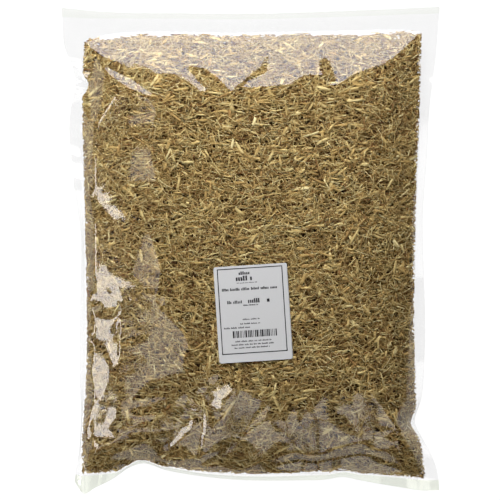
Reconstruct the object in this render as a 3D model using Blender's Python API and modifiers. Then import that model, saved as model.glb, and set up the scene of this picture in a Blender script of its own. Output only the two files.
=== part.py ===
"""Cut and dried poke root, packed full into a clear pouch that is welded along its edges.

The pouch lies on its back. It is two webs of film, and each is a sheet whose grid of points is laid on
the shape of the filled pouch: the plan comes from the four seam lines round the pocket, and the height
from the distance to the nearest seam. The root inside is a core that follows the same shape a little
further in, covered with splinters that lie along its surface. A paper label sits on the front web.

Metres, +Z up, +Y towards the top of the pouch, origin on the surface it lies on, under its middle.
"""

import math
import random

import bmesh
import bpy
import numpy as np

# The film is drawn thicker than the real one, which is about 0.1 mm, so that it stays a sound solid.
FILM = 0.0006
WEB_GAP = 0.0003
PLY_GAP = 0.0004
SEAL_WIDTH = 0.0100

# Heights above the surface that the pouch lies on.
TOP_HEIGHT = 0.0435
CROWN = 0.0025
SEAM_MIDDLE_HEIGHT = 0.0135
SEAM_CORNER_HEIGHT = 0.0065
LOWEST_MARGIN = 0.0022
TOP_SAG = 0.0025
SIDE_SAG = 0.0010

# How far in from a seam the film takes to reach its full height, and how round the shoulder is.
FRONT_SHOULDER, FRONT_ROUNDNESS = 0.062, 2.2
BACK_SHOULDER, BACK_ROUNDNESS = 0.040, 2.0
CORNER_POWER = 4.0

# The settled fill is never quite even: two slow waves across the front.
LUMP_HEIGHT = 0.0006
LUMP_LENGTH = 0.150

# The seam lines round the pocket. A side's pairs are Y and the X there, an end's pairs are X and the Y there.
POCKET = {
    "left": (
        (-0.1812, -0.1372), (-0.1450, -0.1362), (-0.1210, -0.1342), (0.0157, -0.1338), (0.0700, -0.1352),
        (0.1250, -0.1364), (0.1700, -0.1348),
    ),
    "right": (
        (-0.1853, 0.1417), (-0.1652, 0.1392), (-0.1402, 0.1352), (-0.1100, 0.1334), (0.0398, 0.1336),
        (0.1202, 0.1368), (0.1772, 0.1384),
    ),
    "bottom": (
        (-0.1372, -0.1812), (-0.1131, -0.1800), (-0.0890, -0.1760), (-0.0689, -0.1752), (-0.0408, -0.1797),
        (-0.0100, -0.1818), (0.0958, -0.1812), (0.1417, -0.1853),
    ),
    "top": ((-0.1348, 0.1700), (-0.1252, 0.1716), (-0.0006, 0.1740), (0.1384, 0.1772)),
}

# Where the film buckles inwards at a seam: the place along it, how deep, and half the width of the dip.
PINCHES = {
    "left": ((0.1322, 0.0054, 0.0110),),
    "right": ((-0.1402, 0.0058, 0.0150),),
    "bottom": ((-0.0890, 0.0063, 0.0200), (0.0749, 0.0018, 0.0130)),
    "top": (),
}
PINCH_REACH = 0.045

# The cut edge of the film, outside the seals, written as the seam lines are.
EDGE = {
    "left": (
        (-0.1869, -0.1420), (-0.1732, -0.1404), (-0.1611, -0.1384), (-0.1451, -0.1374), (-0.1330, -0.1368),
        (-0.1210, -0.1374), (-0.0406, -0.1374), (0.0157, -0.1374), (0.0559, -0.1429), (0.1121, -0.1453),
        (0.1346, -0.1413), (0.1475, -0.1437), (0.1603, -0.1493), (0.1764, -0.1521), (0.1953, -0.1525),
    ),
    "right": (
        (-0.1941, 0.1521), (-0.1836, 0.1513), (-0.1652, 0.1457), (-0.1531, 0.1392), (-0.1402, 0.1328),
        (-0.1210, 0.1376), (-0.0888, 0.1400), (0.0398, 0.1392), (0.0719, 0.1417), (0.1121, 0.1441),
        (0.1603, 0.1497), (0.1961, 0.1525),
    ),
    "bottom": (
        (-0.1420, -0.1869), (-0.1362, -0.1961), (-0.1252, -0.1917), (-0.1131, -0.1861), (-0.0970, -0.1756),
        (-0.0890, -0.1728), (-0.0689, -0.1780), (-0.0408, -0.1828), (-0.0167, -0.1853), (0.0396, -0.1861),
        (0.0597, -0.1857), (0.0749, -0.1836), (0.0878, -0.1861), (0.1200, -0.1917), (0.1400, -0.1945),
        (0.1521, -0.1941),
    ),
    "top": (
        (-0.1525, 0.1953), (-0.1131, 0.1917), (-0.0569, 0.1905), (-0.0006, 0.1901), (0.0798, 0.1925),
        (0.1525, 0.1961),
    ),
}

# Columns and rows of the grids inside the pocket, and how strongly they crowd towards the seams.
# A line nearer than this share of the pocket to one of a pinch's own three lines is left out.
FILM_COLUMNS, FILM_ROWS, FILM_CROWDING = 18, 22, 0.5
CORE_COLUMNS, CORE_ROWS, CORE_CROWDING = 8, 10, 0.75
LINE_CLEARANCE = 0.018

# The core of the root: its distance from the seams and from the film, the share of the half room that the
# cover takes where the pouch is thin, and how far in from its rim the core reaches its full height.
CORE_INSET = 0.0050
CORE_COVER = 0.0060
THIN_COVER = 0.6
CORE_RAMP = 0.0120

# The splinters on it, larger than life: columns and rows of them, then their sizes and how uneven they are.
# The far end's width is a share of the near end's, and the tilt is a share of the height they stand proud.
FRONT_LATTICE = (12, 16)
BACK_LATTICE = (8, 10)
SPLINTER_LENGTH = (0.028, 0.050)
SPLINTER_WIDTH = (0.0065, 0.0125)
SPLINTER_PROUD = (0.0018, 0.0030)
SPLINTER_SUNK = 0.0036
SPLINTER_TAPER = (0.40, 1.0)
SPLINTER_TILT = 0.35
SPLINTER_SKEW = 0.30
SPLINTER_BOW = 0.0009
LATTICE_JITTER = 0.30
BRICK_STAGGER = 0.25
RIM_CLEARANCE = 0.0020
SEAM_HEADING = 0.15
SEED = 23

# The label: a 58 by 76 mm thermal paper label, stuck on a little askew.
LABEL_WIDTH, LABEL_HEIGHT = 0.0585, 0.0765
LABEL_CENTRE = (0.0019, -0.0505)
LABEL_TURN = math.radians(3.7)
LABEL_CORNER = 0.0016
LABEL_THICKNESS = 0.0004
LABEL_COLUMNS, LABEL_ROWS = 6, 8

POCKET_WIDTH = POCKET["right"][0][1] - POCKET["left"][0][1]
POCKET_HEIGHT = POCKET["top"][0][1] - POCKET["bottom"][0][1]


def clear_scene():
    for obj in list(bpy.data.objects):
        bpy.data.objects.remove(obj, do_unlink=True)


def through(points, at):
    """The smooth curve through the points, at the places asked: one cubic between each two of them."""
    place, value = np.array(points).T
    slope = np.gradient(value, place)
    at = np.clip(at, place[0], place[-1])
    left = np.clip(np.searchsorted(place, at, side="right") - 1, 0, len(place) - 2)
    step = place[left + 1] - place[left]
    t = (at - place[left]) / step
    from_left = (1 + 2 * t) * (1 - t) ** 2 * value[left] + t * (1 - t) ** 2 * step * slope[left]
    from_right = t**2 * (3 - 2 * t) * value[left + 1] + t**2 * (t - 1) * step * slope[left + 1]
    return from_left + from_right


def mix(a, b, share):
    return a + (b - a) * share


def place_along(side, share):
    """Y on a side, or X on an end, at a share of the way along its seam."""
    return mix(POCKET[side][0][0], POCKET[side][-1][0], share)


def dip(side, along, away):
    """How far the film is drawn in at its pinches: a rounded dip that fades out inside the pocket."""
    inwards = 0
    for place, depth, half_width in PINCHES[side]:
        shape = np.cos(math.pi / 2 * np.clip((along - place) / half_width, -1, 1)) ** 2
        inwards = inwards + depth * shape * np.clip(1 - away / PINCH_REACH, 0, 1) ** 2
    return inwards


def pocket_plan(u, v):
    """X and Y inside the pocket, u across from the left seam and v up from the bottom one, each from 0 to 1.

    X is mixed between the two side seams, and Y between the two end seams.
    """
    left, right = place_along("left", v), place_along("right", v)
    bottom, top = place_along("bottom", u), place_along("top", u)
    x = mix(through(POCKET["left"], left), through(POCKET["right"], right), u)
    y = mix(through(POCKET["bottom"], bottom), through(POCKET["top"], top), v)
    x = x + dip("left", left, u * POCKET_WIDTH) - dip("right", right, (1 - u) * POCKET_WIDTH)
    y = y + dip("bottom", bottom, v * POCKET_HEIGHT)
    return x, y


def seam_height(u, v):
    """The seams stand highest at the middle of each side and sink to the corners."""
    across = 1 - np.sin(math.pi * np.clip(u, 0, 1)) ** 0.7
    along = 1 - np.sin(math.pi * np.clip(v, 0, 1)) ** 0.7
    return mix(SEAM_CORNER_HEIGHT, SEAM_MIDDLE_HEIGHT, 1 - across * along)


def fullness(u, v, shoulder, roundness):
    """0 on a seam, 1 past the shoulder. The rise from a side and the rise from an end join round a corner."""
    from_side = np.minimum(u, 1 - u) * POCKET_WIDTH / shoulder
    from_end = np.minimum(v, 1 - v) * POCKET_HEIGHT / shoulder
    short_of_side = np.clip(1 - from_side, 0, 1) ** roundness
    short_of_end = np.clip(1 - from_end, 0, 1) ** roundness
    short = (short_of_side**CORNER_POWER + short_of_end**CORNER_POWER) ** (1 / CORNER_POWER)
    return 1 - np.minimum(short, 1)


def front_height(u, v):
    """Height of the front web's inner face: from the seam up to a crowned top with slow lumps in it."""
    x, y = pocket_plan(u, v)
    crown = CROWN * (1 - (2 * u - 1) ** 2) * (1 - (2 * v - 1) ** 2)
    across = np.sin(2 * math.pi * (x + 0.6 * y) / LUMP_LENGTH)
    along = np.sin(2 * math.pi * (y - 0.4 * x) / (1.3 * LUMP_LENGTH) + 1)
    top = TOP_HEIGHT + crown + LUMP_HEIGHT * (across + along)
    return mix(seam_height(u, v), top, fullness(u, v, FRONT_SHOULDER, FRONT_ROUNDNESS))


def back_height(u, v):
    """Height of the back web's inner face: from the seam down to a flat middle that lies on the surface."""
    flat = FILM + WEB_GAP / 2
    return mix(seam_height(u, v), flat, fullness(u, v, BACK_SHOULDER, BACK_ROUNDNESS))


def lines(count, crowding, sides):
    """Grid lines from 0 to 1, closer together towards both ends, and three at each pinch of the sides."""
    even = np.linspace(0, 1, count + 1)
    spread = mix(even, (1 - np.cos(math.pi * even)) / 2, crowding)
    own = []
    for side in sides:
        start, end = place_along(side, 0), place_along(side, 1)
        for place, _, half_width in PINCHES[side]:
            own += [(place + step * half_width - start) / (end - start) for step in (-1, 0, 1)]
    kept = [at for at in spread if at in (0, 1) or min(abs(at - line) for line in own) > LINE_CLEARANCE]
    return np.array(sorted(kept + own))


def pocket_grid(columns, rows, crowding):
    """u and v of every crossing of the grid lines, row by row."""
    across = lines(columns, crowding, ("bottom", "top"))
    up = lines(rows, crowding, ("left", "right"))
    return np.meshgrid(across, up)


def grid_mesh(name, places):
    """A sheet laid on rows of places, with each cell split into two triangles the same way."""
    rows, columns, _ = places.shape
    sheet = bmesh.new()
    bmesh.ops.create_grid(sheet, x_segments=columns - 1, y_segments=rows - 1, size=0.5)
    for vertex, place in zip(sheet.verts, places.reshape(-1, 3)):
        vertex.co = place
    bmesh.ops.triangulate(sheet, faces=sheet.faces[:], quad_method="FIXED")
    mesh = bpy.data.meshes.new(name)
    sheet.to_mesh(mesh)
    sheet.free()
    return mesh


def margin_height(seam, plan_width, sag):
    """A margin keeps its width: where it looks narrow from above, the rest hangs down from the seam."""
    hidden = np.sqrt(np.maximum(SEAL_WIDTH**2 - plan_width**2, sag**2))
    return np.maximum(seam - hidden, LOWEST_MARGIN)


def square_to(run):
    """The upward direction square to each run from a seam out to the edge."""
    run = run / np.linalg.norm(run, axis=-1, keepdims=True)
    up = np.array([0.0, 0.0, 1.0]) - run * run[..., 2:]
    return up / np.linalg.norm(up, axis=-1, keepdims=True)


def web_places(pocket_height, lift):
    """The points of one web, row by row: the pocket, with a ring of cells round it for the sealed margins.

    The two webs share their margins, so each is lifted a little off them, square to the margin.
    """
    u, v = pocket_grid(FILM_COLUMNS, FILM_ROWS, FILM_CROWDING)
    rows, columns = u.shape
    places = np.zeros((rows + 2, columns + 2, 3))
    places[1:-1, 1:-1] = np.stack([*pocket_plan(u, v), pocket_height(u, v)], axis=-1)
    lifts = np.zeros_like(places)
    lifts[..., 2] = 1
    inside = slice(1, -1)
    margins = {
        "left": ((inside, 0), (inside, 1), 0),
        "right": ((inside, -1), (inside, -2), 0),
        "bottom": ((0, inside), (1, inside), 1),
        "top": ((-1, inside), (-2, inside), 1),
    }
    for side, (outer, seam, out) in margins.items():
        places[outer] = places[seam]
        places[outer + (out,)] = through(EDGE[side], places[seam + (1 - out,)])
        width = np.abs(places[outer + (out,)] - places[seam + (out,)])
        sag = TOP_SAG if side == "top" else SIDE_SAG
        places[outer + (2,)] = margin_height(places[seam + (2,)], width, sag)
        lifts[outer] = lifts[seam] = square_to(places[outer] - places[seam])
    for row, side in ((0, "bottom"), (-1, "top")):
        for column in (0, -1):
            places[row, column] = (*EDGE[side][column], SEAM_CORNER_HEIGHT - SIDE_SAG)
    return places + lift * lifts


def plastic(name, colour, alpha):
    material = bpy.data.materials.new(name)
    material.use_nodes = True
    shader = material.node_tree.nodes["Principled BSDF"]
    shader.inputs["Base Color"].default_value = (*colour, 1)
    shader.inputs["Roughness"].default_value = 0.12
    shader.inputs["Alpha"].default_value = alpha
    return material


def matt(name, colour, roughness):
    material = bpy.data.materials.new(name)
    material.use_nodes = True
    shader = material.node_tree.nodes["Principled BSDF"]
    shader.inputs["Base Color"].default_value = (*colour, 1)
    shader.inputs["Roughness"].default_value = roughness
    return material


def add_part(name, mesh, material, collection):
    part = bpy.data.objects.new(name, mesh)
    mesh.materials.append(material)
    collection.objects.link(part)
    return part


def build_web(name, places, faces_up, material, collection):
    """One web of film: its inner face is the grid, and the wall goes outwards from it."""
    mesh = grid_mesh(name, places)
    if not faces_up:
        mesh.flip_normals()
    mesh.shade_smooth()
    web = add_part(name, mesh, material, collection)
    wall = web.modifiers.new("Wall", "SOLIDIFY")
    wall.thickness = FILM
    wall.offset = 1
    return web


def on_core(u, v, above, front):
    """Points at a height above the core's skin, outwards on either side.

    The skin lies under the film by its cover, and both sides are drawn together to one rim. Where the
    pouch is thin, towards its corners, the cover and the height above it shrink with the room there.
    """
    inner_u = mix(CORE_INSET / POCKET_WIDTH, 1 - CORE_INSET / POCKET_WIDTH, u)
    inner_v = mix(CORE_INSET / POCKET_HEIGHT, 1 - CORE_INSET / POCKET_HEIGHT, v)
    high, low = front_height(inner_u, inner_v), back_height(inner_u, inner_v)
    half_room = (high - low) / 2
    cover = np.minimum(CORE_COVER, THIN_COVER * half_room)
    from_rim = np.minimum(np.minimum(u, 1 - u) * POCKET_WIDTH, np.minimum(v, 1 - v) * POCKET_HEIGHT)
    skin = (half_room - cover) * np.clip(from_rim / CORE_RAMP, 0, 1) + above * cover / CORE_COVER
    x, y = pocket_plan(inner_u, inner_v)
    return np.stack([x, y, (high + low) / 2 + (skin if front else -skin)], axis=-1)


def build_core(material, collection):
    """The core is two grids, front and back, merged along their common rim.

    In two of its corners a cell's diagonal cuts the corner off. Front and back then share that triangle,
    which has no thickness, so it goes.
    """
    u, v = pocket_grid(CORE_COLUMNS, CORE_ROWS, CORE_CROWDING)
    core = bmesh.new()
    for front in (True, False):
        sheet = grid_mesh("core side", on_core(u, v, 0, front))
        if not front:
            sheet.flip_normals()
        core.from_mesh(sheet)
        bpy.data.meshes.remove(sheet)
    bmesh.ops.remove_doubles(core, verts=core.verts[:], dist=1e-5)
    flat = [face for face in core.faces if any(len(edge.link_faces) == 1 for edge in face.edges)]
    bmesh.ops.delete(core, geom=flat, context="FACES")
    mesh = bpy.data.meshes.new("root_fill")
    core.to_mesh(mesh)
    core.free()
    return add_part("root_fill", mesh, material, collection)


def shortened(length, u, v, heading, front):
    """The length at which a splinter's chord strays from its skin by no more than the bow allowed."""
    along = np.array([-0.5, 0.0, 0.5]) * length
    along_u = u + along * math.cos(heading) / POCKET_WIDTH
    along_v = v + along * math.sin(heading) / POCKET_HEIGHT
    start, middle, end = on_core(along_u, along_v, 0, front)
    bow = np.linalg.norm((start + end) / 2 - middle)
    return length * min(1, math.sqrt(SPLINTER_BOW / bow))


def splinter_mesh(name, u, v, heading, front, draw):
    """One splinter: a tapered, skewed box with its corners laid on the core, so that it follows the curve."""
    length, width = draw.uniform(*SPLINTER_LENGTH), draw.uniform(*SPLINTER_WIDTH)
    proud = draw.uniform(*SPLINTER_PROUD)
    taper, skew = draw.uniform(*SPLINTER_TAPER), draw.uniform(-SPLINTER_SKEW, SPLINTER_SKEW)
    tilt = draw.uniform(-SPLINTER_TILT, SPLINTER_TILT)
    length = shortened(length, u, v, heading, front)
    chip = bmesh.new()
    bmesh.ops.create_cube(chip, size=1)
    corners = np.array([vertex.co[:] for vertex in chip.verts])
    across = corners[:, 1] * width * np.where(corners[:, 0] > 0, taper, 1)
    along = corners[:, 0] * length + skew * across
    above = np.where(corners[:, 2] > 0, proud * (1 + 2 * tilt * corners[:, 0]), -SPLINTER_SUNK)
    corner_u = u + (along * math.cos(heading) - across * math.sin(heading)) / POCKET_WIDTH
    corner_v = v + (along * math.sin(heading) + across * math.cos(heading)) / POCKET_HEIGHT
    for vertex, place in zip(chip.verts, on_core(corner_u, corner_v, above, front)):
        vertex.co = place
    bmesh.ops.triangulate(chip, faces=chip.faces[:])
    bmesh.ops.recalc_face_normals(chip, faces=chip.faces[:])
    mesh = bpy.data.meshes.new(name)
    chip.to_mesh(mesh)
    chip.free()
    return mesh


def heading_near(u, v, reach, draw):
    """Any direction in the open, but along a seam that is nearer than the reach."""
    heading = draw.uniform(0, math.pi)
    side_room = min(u, 1 - u) * POCKET_WIDTH
    end_room = min(v, 1 - v) * POCKET_HEIGHT
    if side_room < reach and side_room <= end_room:
        heading = math.pi / 2 + draw.uniform(-SEAM_HEADING, SEAM_HEADING)
    elif end_room < reach:
        heading = draw.uniform(-SEAM_HEADING, SEAM_HEADING)
    return heading


def scatter_splinters(collection):
    """Splinters on a jittered lattice over the front and the back of the core, so that they cover it."""
    draw = random.Random(SEED)
    reach = SPLINTER_LENGTH[1] / 2
    least_u = (SPLINTER_WIDTH[1] / 2 + RIM_CLEARANCE) / POCKET_WIDTH
    least_v = (SPLINTER_WIDTH[1] / 2 + RIM_CLEARANCE) / POCKET_HEIGHT
    corner_u, corner_v = reach / POCKET_WIDTH, reach / POCKET_HEIGHT
    for front, (columns, rows) in ((True, FRONT_LATTICE), (False, BACK_LATTICE)):
        for row in range(rows):
            for column in range(columns):
                stagger = BRICK_STAGGER * (-1) ** row
                u = (column + 0.5 + stagger + draw.uniform(-LATTICE_JITTER, LATTICE_JITTER)) / columns
                v = (row + 0.5 + draw.uniform(-LATTICE_JITTER, LATTICE_JITTER)) / rows
                u = min(max(u, least_u), 1 - least_u)
                v = min(max(v, least_v), 1 - least_v)
                heading = heading_near(u, v, reach, draw)
                if math.cos(heading) ** 2 > 0.5:
                    u = min(max(u, corner_u), 1 - corner_u)
                else:
                    v = min(max(v, corner_v), 1 - corner_v)
                mesh = splinter_mesh("splinter", u, v, heading, front, draw)
                collection.objects.link(bpy.data.objects.new("splinter", mesh))


def build_root(material, collection, helpers):
    """The core with every splinter fused to it."""
    root = build_core(material, collection)
    scatter_splinters(helpers)
    union = root.modifiers.new("Splinters", "BOOLEAN")
    union.operation = "UNION"
    union.operand_type = "COLLECTION"
    union.collection = helpers
    fused = bpy.data.meshes.new_from_object(root.evaluated_get(bpy.context.evaluated_depsgraph_get()))
    root.modifiers.clear()
    plain, root.data = root.data, fused
    bpy.data.meshes.remove(plain)
    fused.name = "root_fill"
    for splinter in list(helpers.objects):
        bpy.data.objects.remove(splinter, do_unlink=True)
    return root


def plan_to_uv(x, y):
    """u and v of a point well inside the pocket, found by a few steps back towards it."""
    u = (x - place_along("bottom", 0)) / POCKET_WIDTH
    v = (y - place_along("left", 0)) / POCKET_HEIGHT
    for _ in range(6):
        at_x, at_y = pocket_plan(u, v)
        u, v = u + (x - at_x) / POCKET_WIDTH, v + (y - at_y) / POCKET_HEIGHT
    return u, v


def build_label(material, collection):
    """The label: a grid with rounded corners that lies on the front web's outer face."""
    columns = np.linspace(-0.5, 0.5, LABEL_COLUMNS + 1) * LABEL_WIDTH
    rows = np.linspace(-0.5, 0.5, LABEL_ROWS + 1) * LABEL_HEIGHT
    across, up = np.meshgrid(columns, rows)
    cut = (1 - math.sqrt(0.5)) * LABEL_CORNER
    for row in (0, -1):
        for column in (0, -1):
            across[row, column] -= math.copysign(cut, across[row, column])
            up[row, column] -= math.copysign(cut, up[row, column])
    x = LABEL_CENTRE[0] + across * math.cos(LABEL_TURN) - up * math.sin(LABEL_TURN)
    y = LABEL_CENTRE[1] + across * math.sin(LABEL_TURN) + up * math.cos(LABEL_TURN)
    z = front_height(*plan_to_uv(x, y)) + WEB_GAP / 2 + FILM + PLY_GAP
    mesh = grid_mesh("label", np.stack([x, y, z], axis=-1))
    mesh.shade_smooth()
    label = add_part("label", mesh, material, collection)
    paper = label.modifiers.new("Paper", "SOLIDIFY")
    paper.thickness = LABEL_THICKNESS
    paper.offset = 1
    return label


def main():
    clear_scene()
    pouch = bpy.data.collections.new("poke_root_pouch")
    helpers = bpy.data.collections.new("splinters_to_fuse")
    for collection in (pouch, helpers):
        bpy.context.scene.collection.children.link(collection)

    film = plastic("clear_film", (0.86, 0.88, 0.90), 0.22)
    build_web("film_front", web_places(front_height, WEB_GAP / 2), True, film, pouch)
    build_web("film_back", web_places(back_height, -WEB_GAP / 2), False, film, pouch)
    build_root(matt("dried_root", (0.212, 0.153, 0.062), 0.85), pouch, helpers)
    build_label(matt("label_paper", (0.80, 0.80, 0.79), 0.6), pouch)


main()
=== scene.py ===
# %% [markdown]
# # Cut dried poke root in a clear pouch
#
# Poke root is dug, sliced, dried and chopped, and then sieved. What is left is a springy heap of
# splinters, flakes and fibres, from straw yellow wood to dark brown bark. A kilogram of it is packed full
# into a clear pouch, which is two sheets of film, called webs, welded together along their edges.
#
# The frame is the part as it was packed for simulation: two webs, one solid of root and one label. This
# script keeps their sizes and places, and builds what the eye sees instead of them: thin film with folds,
# tens of thousands of splinters, and printed paper.

# %% The frame
import math

import bmesh
import bpy
import numpy as np
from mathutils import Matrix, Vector


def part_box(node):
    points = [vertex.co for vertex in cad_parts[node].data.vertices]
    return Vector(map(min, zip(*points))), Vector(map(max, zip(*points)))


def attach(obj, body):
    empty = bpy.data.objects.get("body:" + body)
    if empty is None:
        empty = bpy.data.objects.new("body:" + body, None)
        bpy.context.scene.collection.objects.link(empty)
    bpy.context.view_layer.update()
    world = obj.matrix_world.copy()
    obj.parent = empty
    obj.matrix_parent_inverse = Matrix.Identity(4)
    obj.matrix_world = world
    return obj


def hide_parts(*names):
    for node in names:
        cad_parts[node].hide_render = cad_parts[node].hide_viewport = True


MM = 0.001

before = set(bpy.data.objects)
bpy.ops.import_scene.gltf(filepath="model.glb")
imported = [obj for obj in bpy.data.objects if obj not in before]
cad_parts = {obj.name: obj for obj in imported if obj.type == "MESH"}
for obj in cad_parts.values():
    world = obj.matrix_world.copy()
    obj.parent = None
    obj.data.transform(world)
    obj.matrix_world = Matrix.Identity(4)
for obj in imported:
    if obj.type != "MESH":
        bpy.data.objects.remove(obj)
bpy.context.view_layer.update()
for node in sorted(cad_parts):
    low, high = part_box(node)
    print(node, [round(x / MM, 1) for x in low], "to", [round(x / MM, 1) for x in high], "mm")

# %% [markdown]
# ## The camera
#
# The photograph looks straight down on the pouch. One of its pixels covers 0.8037 mm at the height of the
# seams, which the label gives: it is a common thermal label, 58 mm wide. A camera that is far away and has
# a long lens keeps the domed front from swelling towards the lens, so it hangs 2.5 m up.

# %% Camera
PHOTO_PIXELS = 500
PIXEL = 0.8037 * MM
PHOTO_CENTRE = (-0.6 * MM, -0.4 * MM)
CAMERA_HEIGHT = 2.5
SEAM_MIDDLE_HEIGHT = 13.5 * MM
SENSOR_MM = 36

camera = bpy.data.objects.new("camera", bpy.data.cameras.new("camera"))
camera.location = (*PHOTO_CENTRE, CAMERA_HEIGHT)
camera.data.sensor_width = SENSOR_MM
camera.data.lens = SENSOR_MM * (CAMERA_HEIGHT - SEAM_MIDDLE_HEIGHT) / (PHOTO_PIXELS * PIXEL)
bpy.context.scene.collection.objects.link(camera)
bpy.context.scene.camera = camera
print("lens", round(camera.data.lens, 1), "mm")

# %% [markdown]
# ## The form of the pouch
#
# A filled pouch has no simple outline. Its seams pull in where the fill is thick, and buckle where the
# film has nowhere else to go. So the pocket between the seams is drawn as a stretched sheet: u runs across
# it from the left seam to the right one and v from the bottom to the top, each from 0 to 1. Four lists of
# points give the seams, and everything inside is mixed between them. The sizes are those that the frame was
# made from.

# %% Seam lines and cut edge
# The seams round the pocket, in metres. A side's pairs are Y and the X there, an end's are X and the Y there.
POCKET = {
    "left": (
        (-0.1812, -0.1372), (-0.1450, -0.1362), (-0.1210, -0.1342), (0.0157, -0.1338), (0.0700, -0.1352),
        (0.1250, -0.1364), (0.1700, -0.1348),
    ),
    "right": (
        (-0.1853, 0.1417), (-0.1652, 0.1392), (-0.1402, 0.1352), (-0.1100, 0.1334), (0.0398, 0.1336),
        (0.1202, 0.1368), (0.1772, 0.1384),
    ),
    "bottom": (
        (-0.1372, -0.1812), (-0.1131, -0.1800), (-0.0890, -0.1760), (-0.0689, -0.1752), (-0.0408, -0.1797),
        (-0.0100, -0.1818), (0.0958, -0.1812), (0.1417, -0.1853),
    ),
    "top": ((-0.1348, 0.1700), (-0.1252, 0.1716), (-0.0006, 0.1740), (0.1384, 0.1772)),
}
# Where the film buckles inwards at a seam: the place along it, how deep, and half the width of the dip.
PINCHES = {
    "left": ((0.1322, 0.0054, 0.0110),),
    "right": ((-0.1402, 0.0058, 0.0150),),
    "bottom": ((-0.0890, 0.0063, 0.0200), (0.0749, 0.0018, 0.0130)),
    "top": (),
}
PINCH_REACH = 0.045
# The cut edge of the film, in pairs as for the seams.
EDGE = {
    "left": (
        (-0.1869, -0.1420), (-0.1732, -0.1404), (-0.1611, -0.1384), (-0.1451, -0.1374), (-0.1330, -0.1368),
        (-0.1210, -0.1374), (-0.0406, -0.1374), (0.0157, -0.1374), (0.0559, -0.1429), (0.1121, -0.1453),
        (0.1346, -0.1413), (0.1475, -0.1437), (0.1603, -0.1493), (0.1764, -0.1521), (0.1953, -0.1525),
    ),
    "right": (
        (-0.1941, 0.1521), (-0.1836, 0.1513), (-0.1652, 0.1457), (-0.1531, 0.1392), (-0.1402, 0.1328),
        (-0.1210, 0.1376), (-0.0888, 0.1400), (0.0398, 0.1392), (0.0719, 0.1417), (0.1121, 0.1441),
        (0.1603, 0.1497), (0.1961, 0.1525),
    ),
    "bottom": (
        (-0.1420, -0.1869), (-0.1362, -0.1961), (-0.1252, -0.1917), (-0.1131, -0.1861), (-0.0970, -0.1756),
        (-0.0890, -0.1728), (-0.0689, -0.1780), (-0.0408, -0.1828), (-0.0167, -0.1853), (0.0396, -0.1861),
        (0.0597, -0.1857), (0.0749, -0.1836), (0.0878, -0.1861), (0.1200, -0.1917), (0.1400, -0.1945),
        (0.1521, -0.1941),
    ),
    "top": (
        (-0.1525, 0.1953), (-0.1131, 0.1917), (-0.0569, 0.1905), (-0.0006, 0.1901), (0.0798, 0.1925),
        (0.1525, 0.1961),
    ),
}
POCKET_WIDTH = POCKET["right"][0][1] - POCKET["left"][0][1]
POCKET_HEIGHT = POCKET["top"][0][1] - POCKET["bottom"][0][1]
print("pocket", round(POCKET_WIDTH / MM), "by", round(POCKET_HEIGHT / MM), "mm")

# %% Plan of the pocket
# How many steps it takes to find the u and v of a place.
PLAN_STEPS = 6


def through(points, at):
    """The smooth curve through the points, at the places asked: one cubic between each two of them."""
    place, value = np.array(points).T
    slope = np.gradient(value, place)
    at = np.clip(at, place[0], place[-1])
    left = np.clip(np.searchsorted(place, at, side="right") - 1, 0, len(place) - 2)
    step = place[left + 1] - place[left]
    t = (at - place[left]) / step
    from_left = (1 + 2 * t) * (1 - t) ** 2 * value[left] + t * (1 - t) ** 2 * step * slope[left]
    from_right = t**2 * (3 - 2 * t) * value[left + 1] + t**2 * (t - 1) * step * slope[left + 1]
    return from_left + from_right


def mix(a, b, share):
    """a where share is 0, b where it is 1, and a straight line between."""
    return a + (b - a) * share


def place_along(side, share):
    """Y on a side, or X on an end, at a share of the way along its seam."""
    return mix(POCKET[side][0][0], POCKET[side][-1][0], share)


def dip(side, along, away):
    """How far the film is drawn in at its pinches: a squared cosine along the seam, fading inwards."""
    inwards = 0
    for place, depth, half_width in PINCHES[side]:
        shape = np.cos(math.pi / 2 * np.clip((along - place) / half_width, -1, 1)) ** 2
        inwards = inwards + depth * shape * np.clip(1 - away / PINCH_REACH, 0, 1) ** 2
    return inwards


def pocket_plan(u, v):
    """X mixed between the two side seams, and Y between the two end seams, less the pinches."""
    left, right = place_along("left", v), place_along("right", v)
    bottom, top = place_along("bottom", u), place_along("top", u)
    x = mix(through(POCKET["left"], left), through(POCKET["right"], right), u)
    y = mix(through(POCKET["bottom"], bottom), through(POCKET["top"], top), v)
    x = x + dip("left", left, u * POCKET_WIDTH) - dip("right", right, (1 - u) * POCKET_WIDTH)
    y = y + dip("bottom", bottom, v * POCKET_HEIGHT)
    return x, y


def plan_to_uv(x, y):
    """u and v of a point in or near the pocket, found by a few steps back towards it."""
    u = (x - place_along("bottom", 0)) / POCKET_WIDTH
    v = (y - place_along("left", 0)) / POCKET_HEIGHT
    for _ in range(PLAN_STEPS):
        at_x, at_y = pocket_plan(u, v)
        u, v = u + (x - at_x) / POCKET_WIDTH, v + (y - at_y) / POCKET_HEIGHT
    return u, v


print("the middle of the pocket is at", np.round(np.array(pocket_plan(0.5, 0.5)) / MM, 1).tolist(), "mm")

# %% Heights of the two webs
FRAME_FILM = 0.6 * MM
WEB_GAP = 0.3 * MM
SEAL_WIDTH = 10.0 * MM
TOP_HEIGHT = 43.5 * MM
CROWN = 2.5 * MM
SEAM_CORNER_HEIGHT = 6.5 * MM
LOWEST_MARGIN = 2.2 * MM
TOP_SAG = 2.5 * MM
SIDE_SAG = 1.0 * MM
FRONT_SHOULDER, FRONT_ROUNDNESS = 0.062, 2.2
BACK_SHOULDER, BACK_ROUNDNESS = 0.040, 2.0
CORNER_POWER = 4.0
# The fill is never quite even: slow waves across it, each with its way (X and Y), its length and its start.
LUMP_HEIGHT, LUMP_LENGTH = 0.6 * MM, 0.150
LUMP_WAVES = ((1, 0.6, 1.0, 0), (-0.4, 1, 1.3, 1))
SEAM_POWER = 0.7


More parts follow.
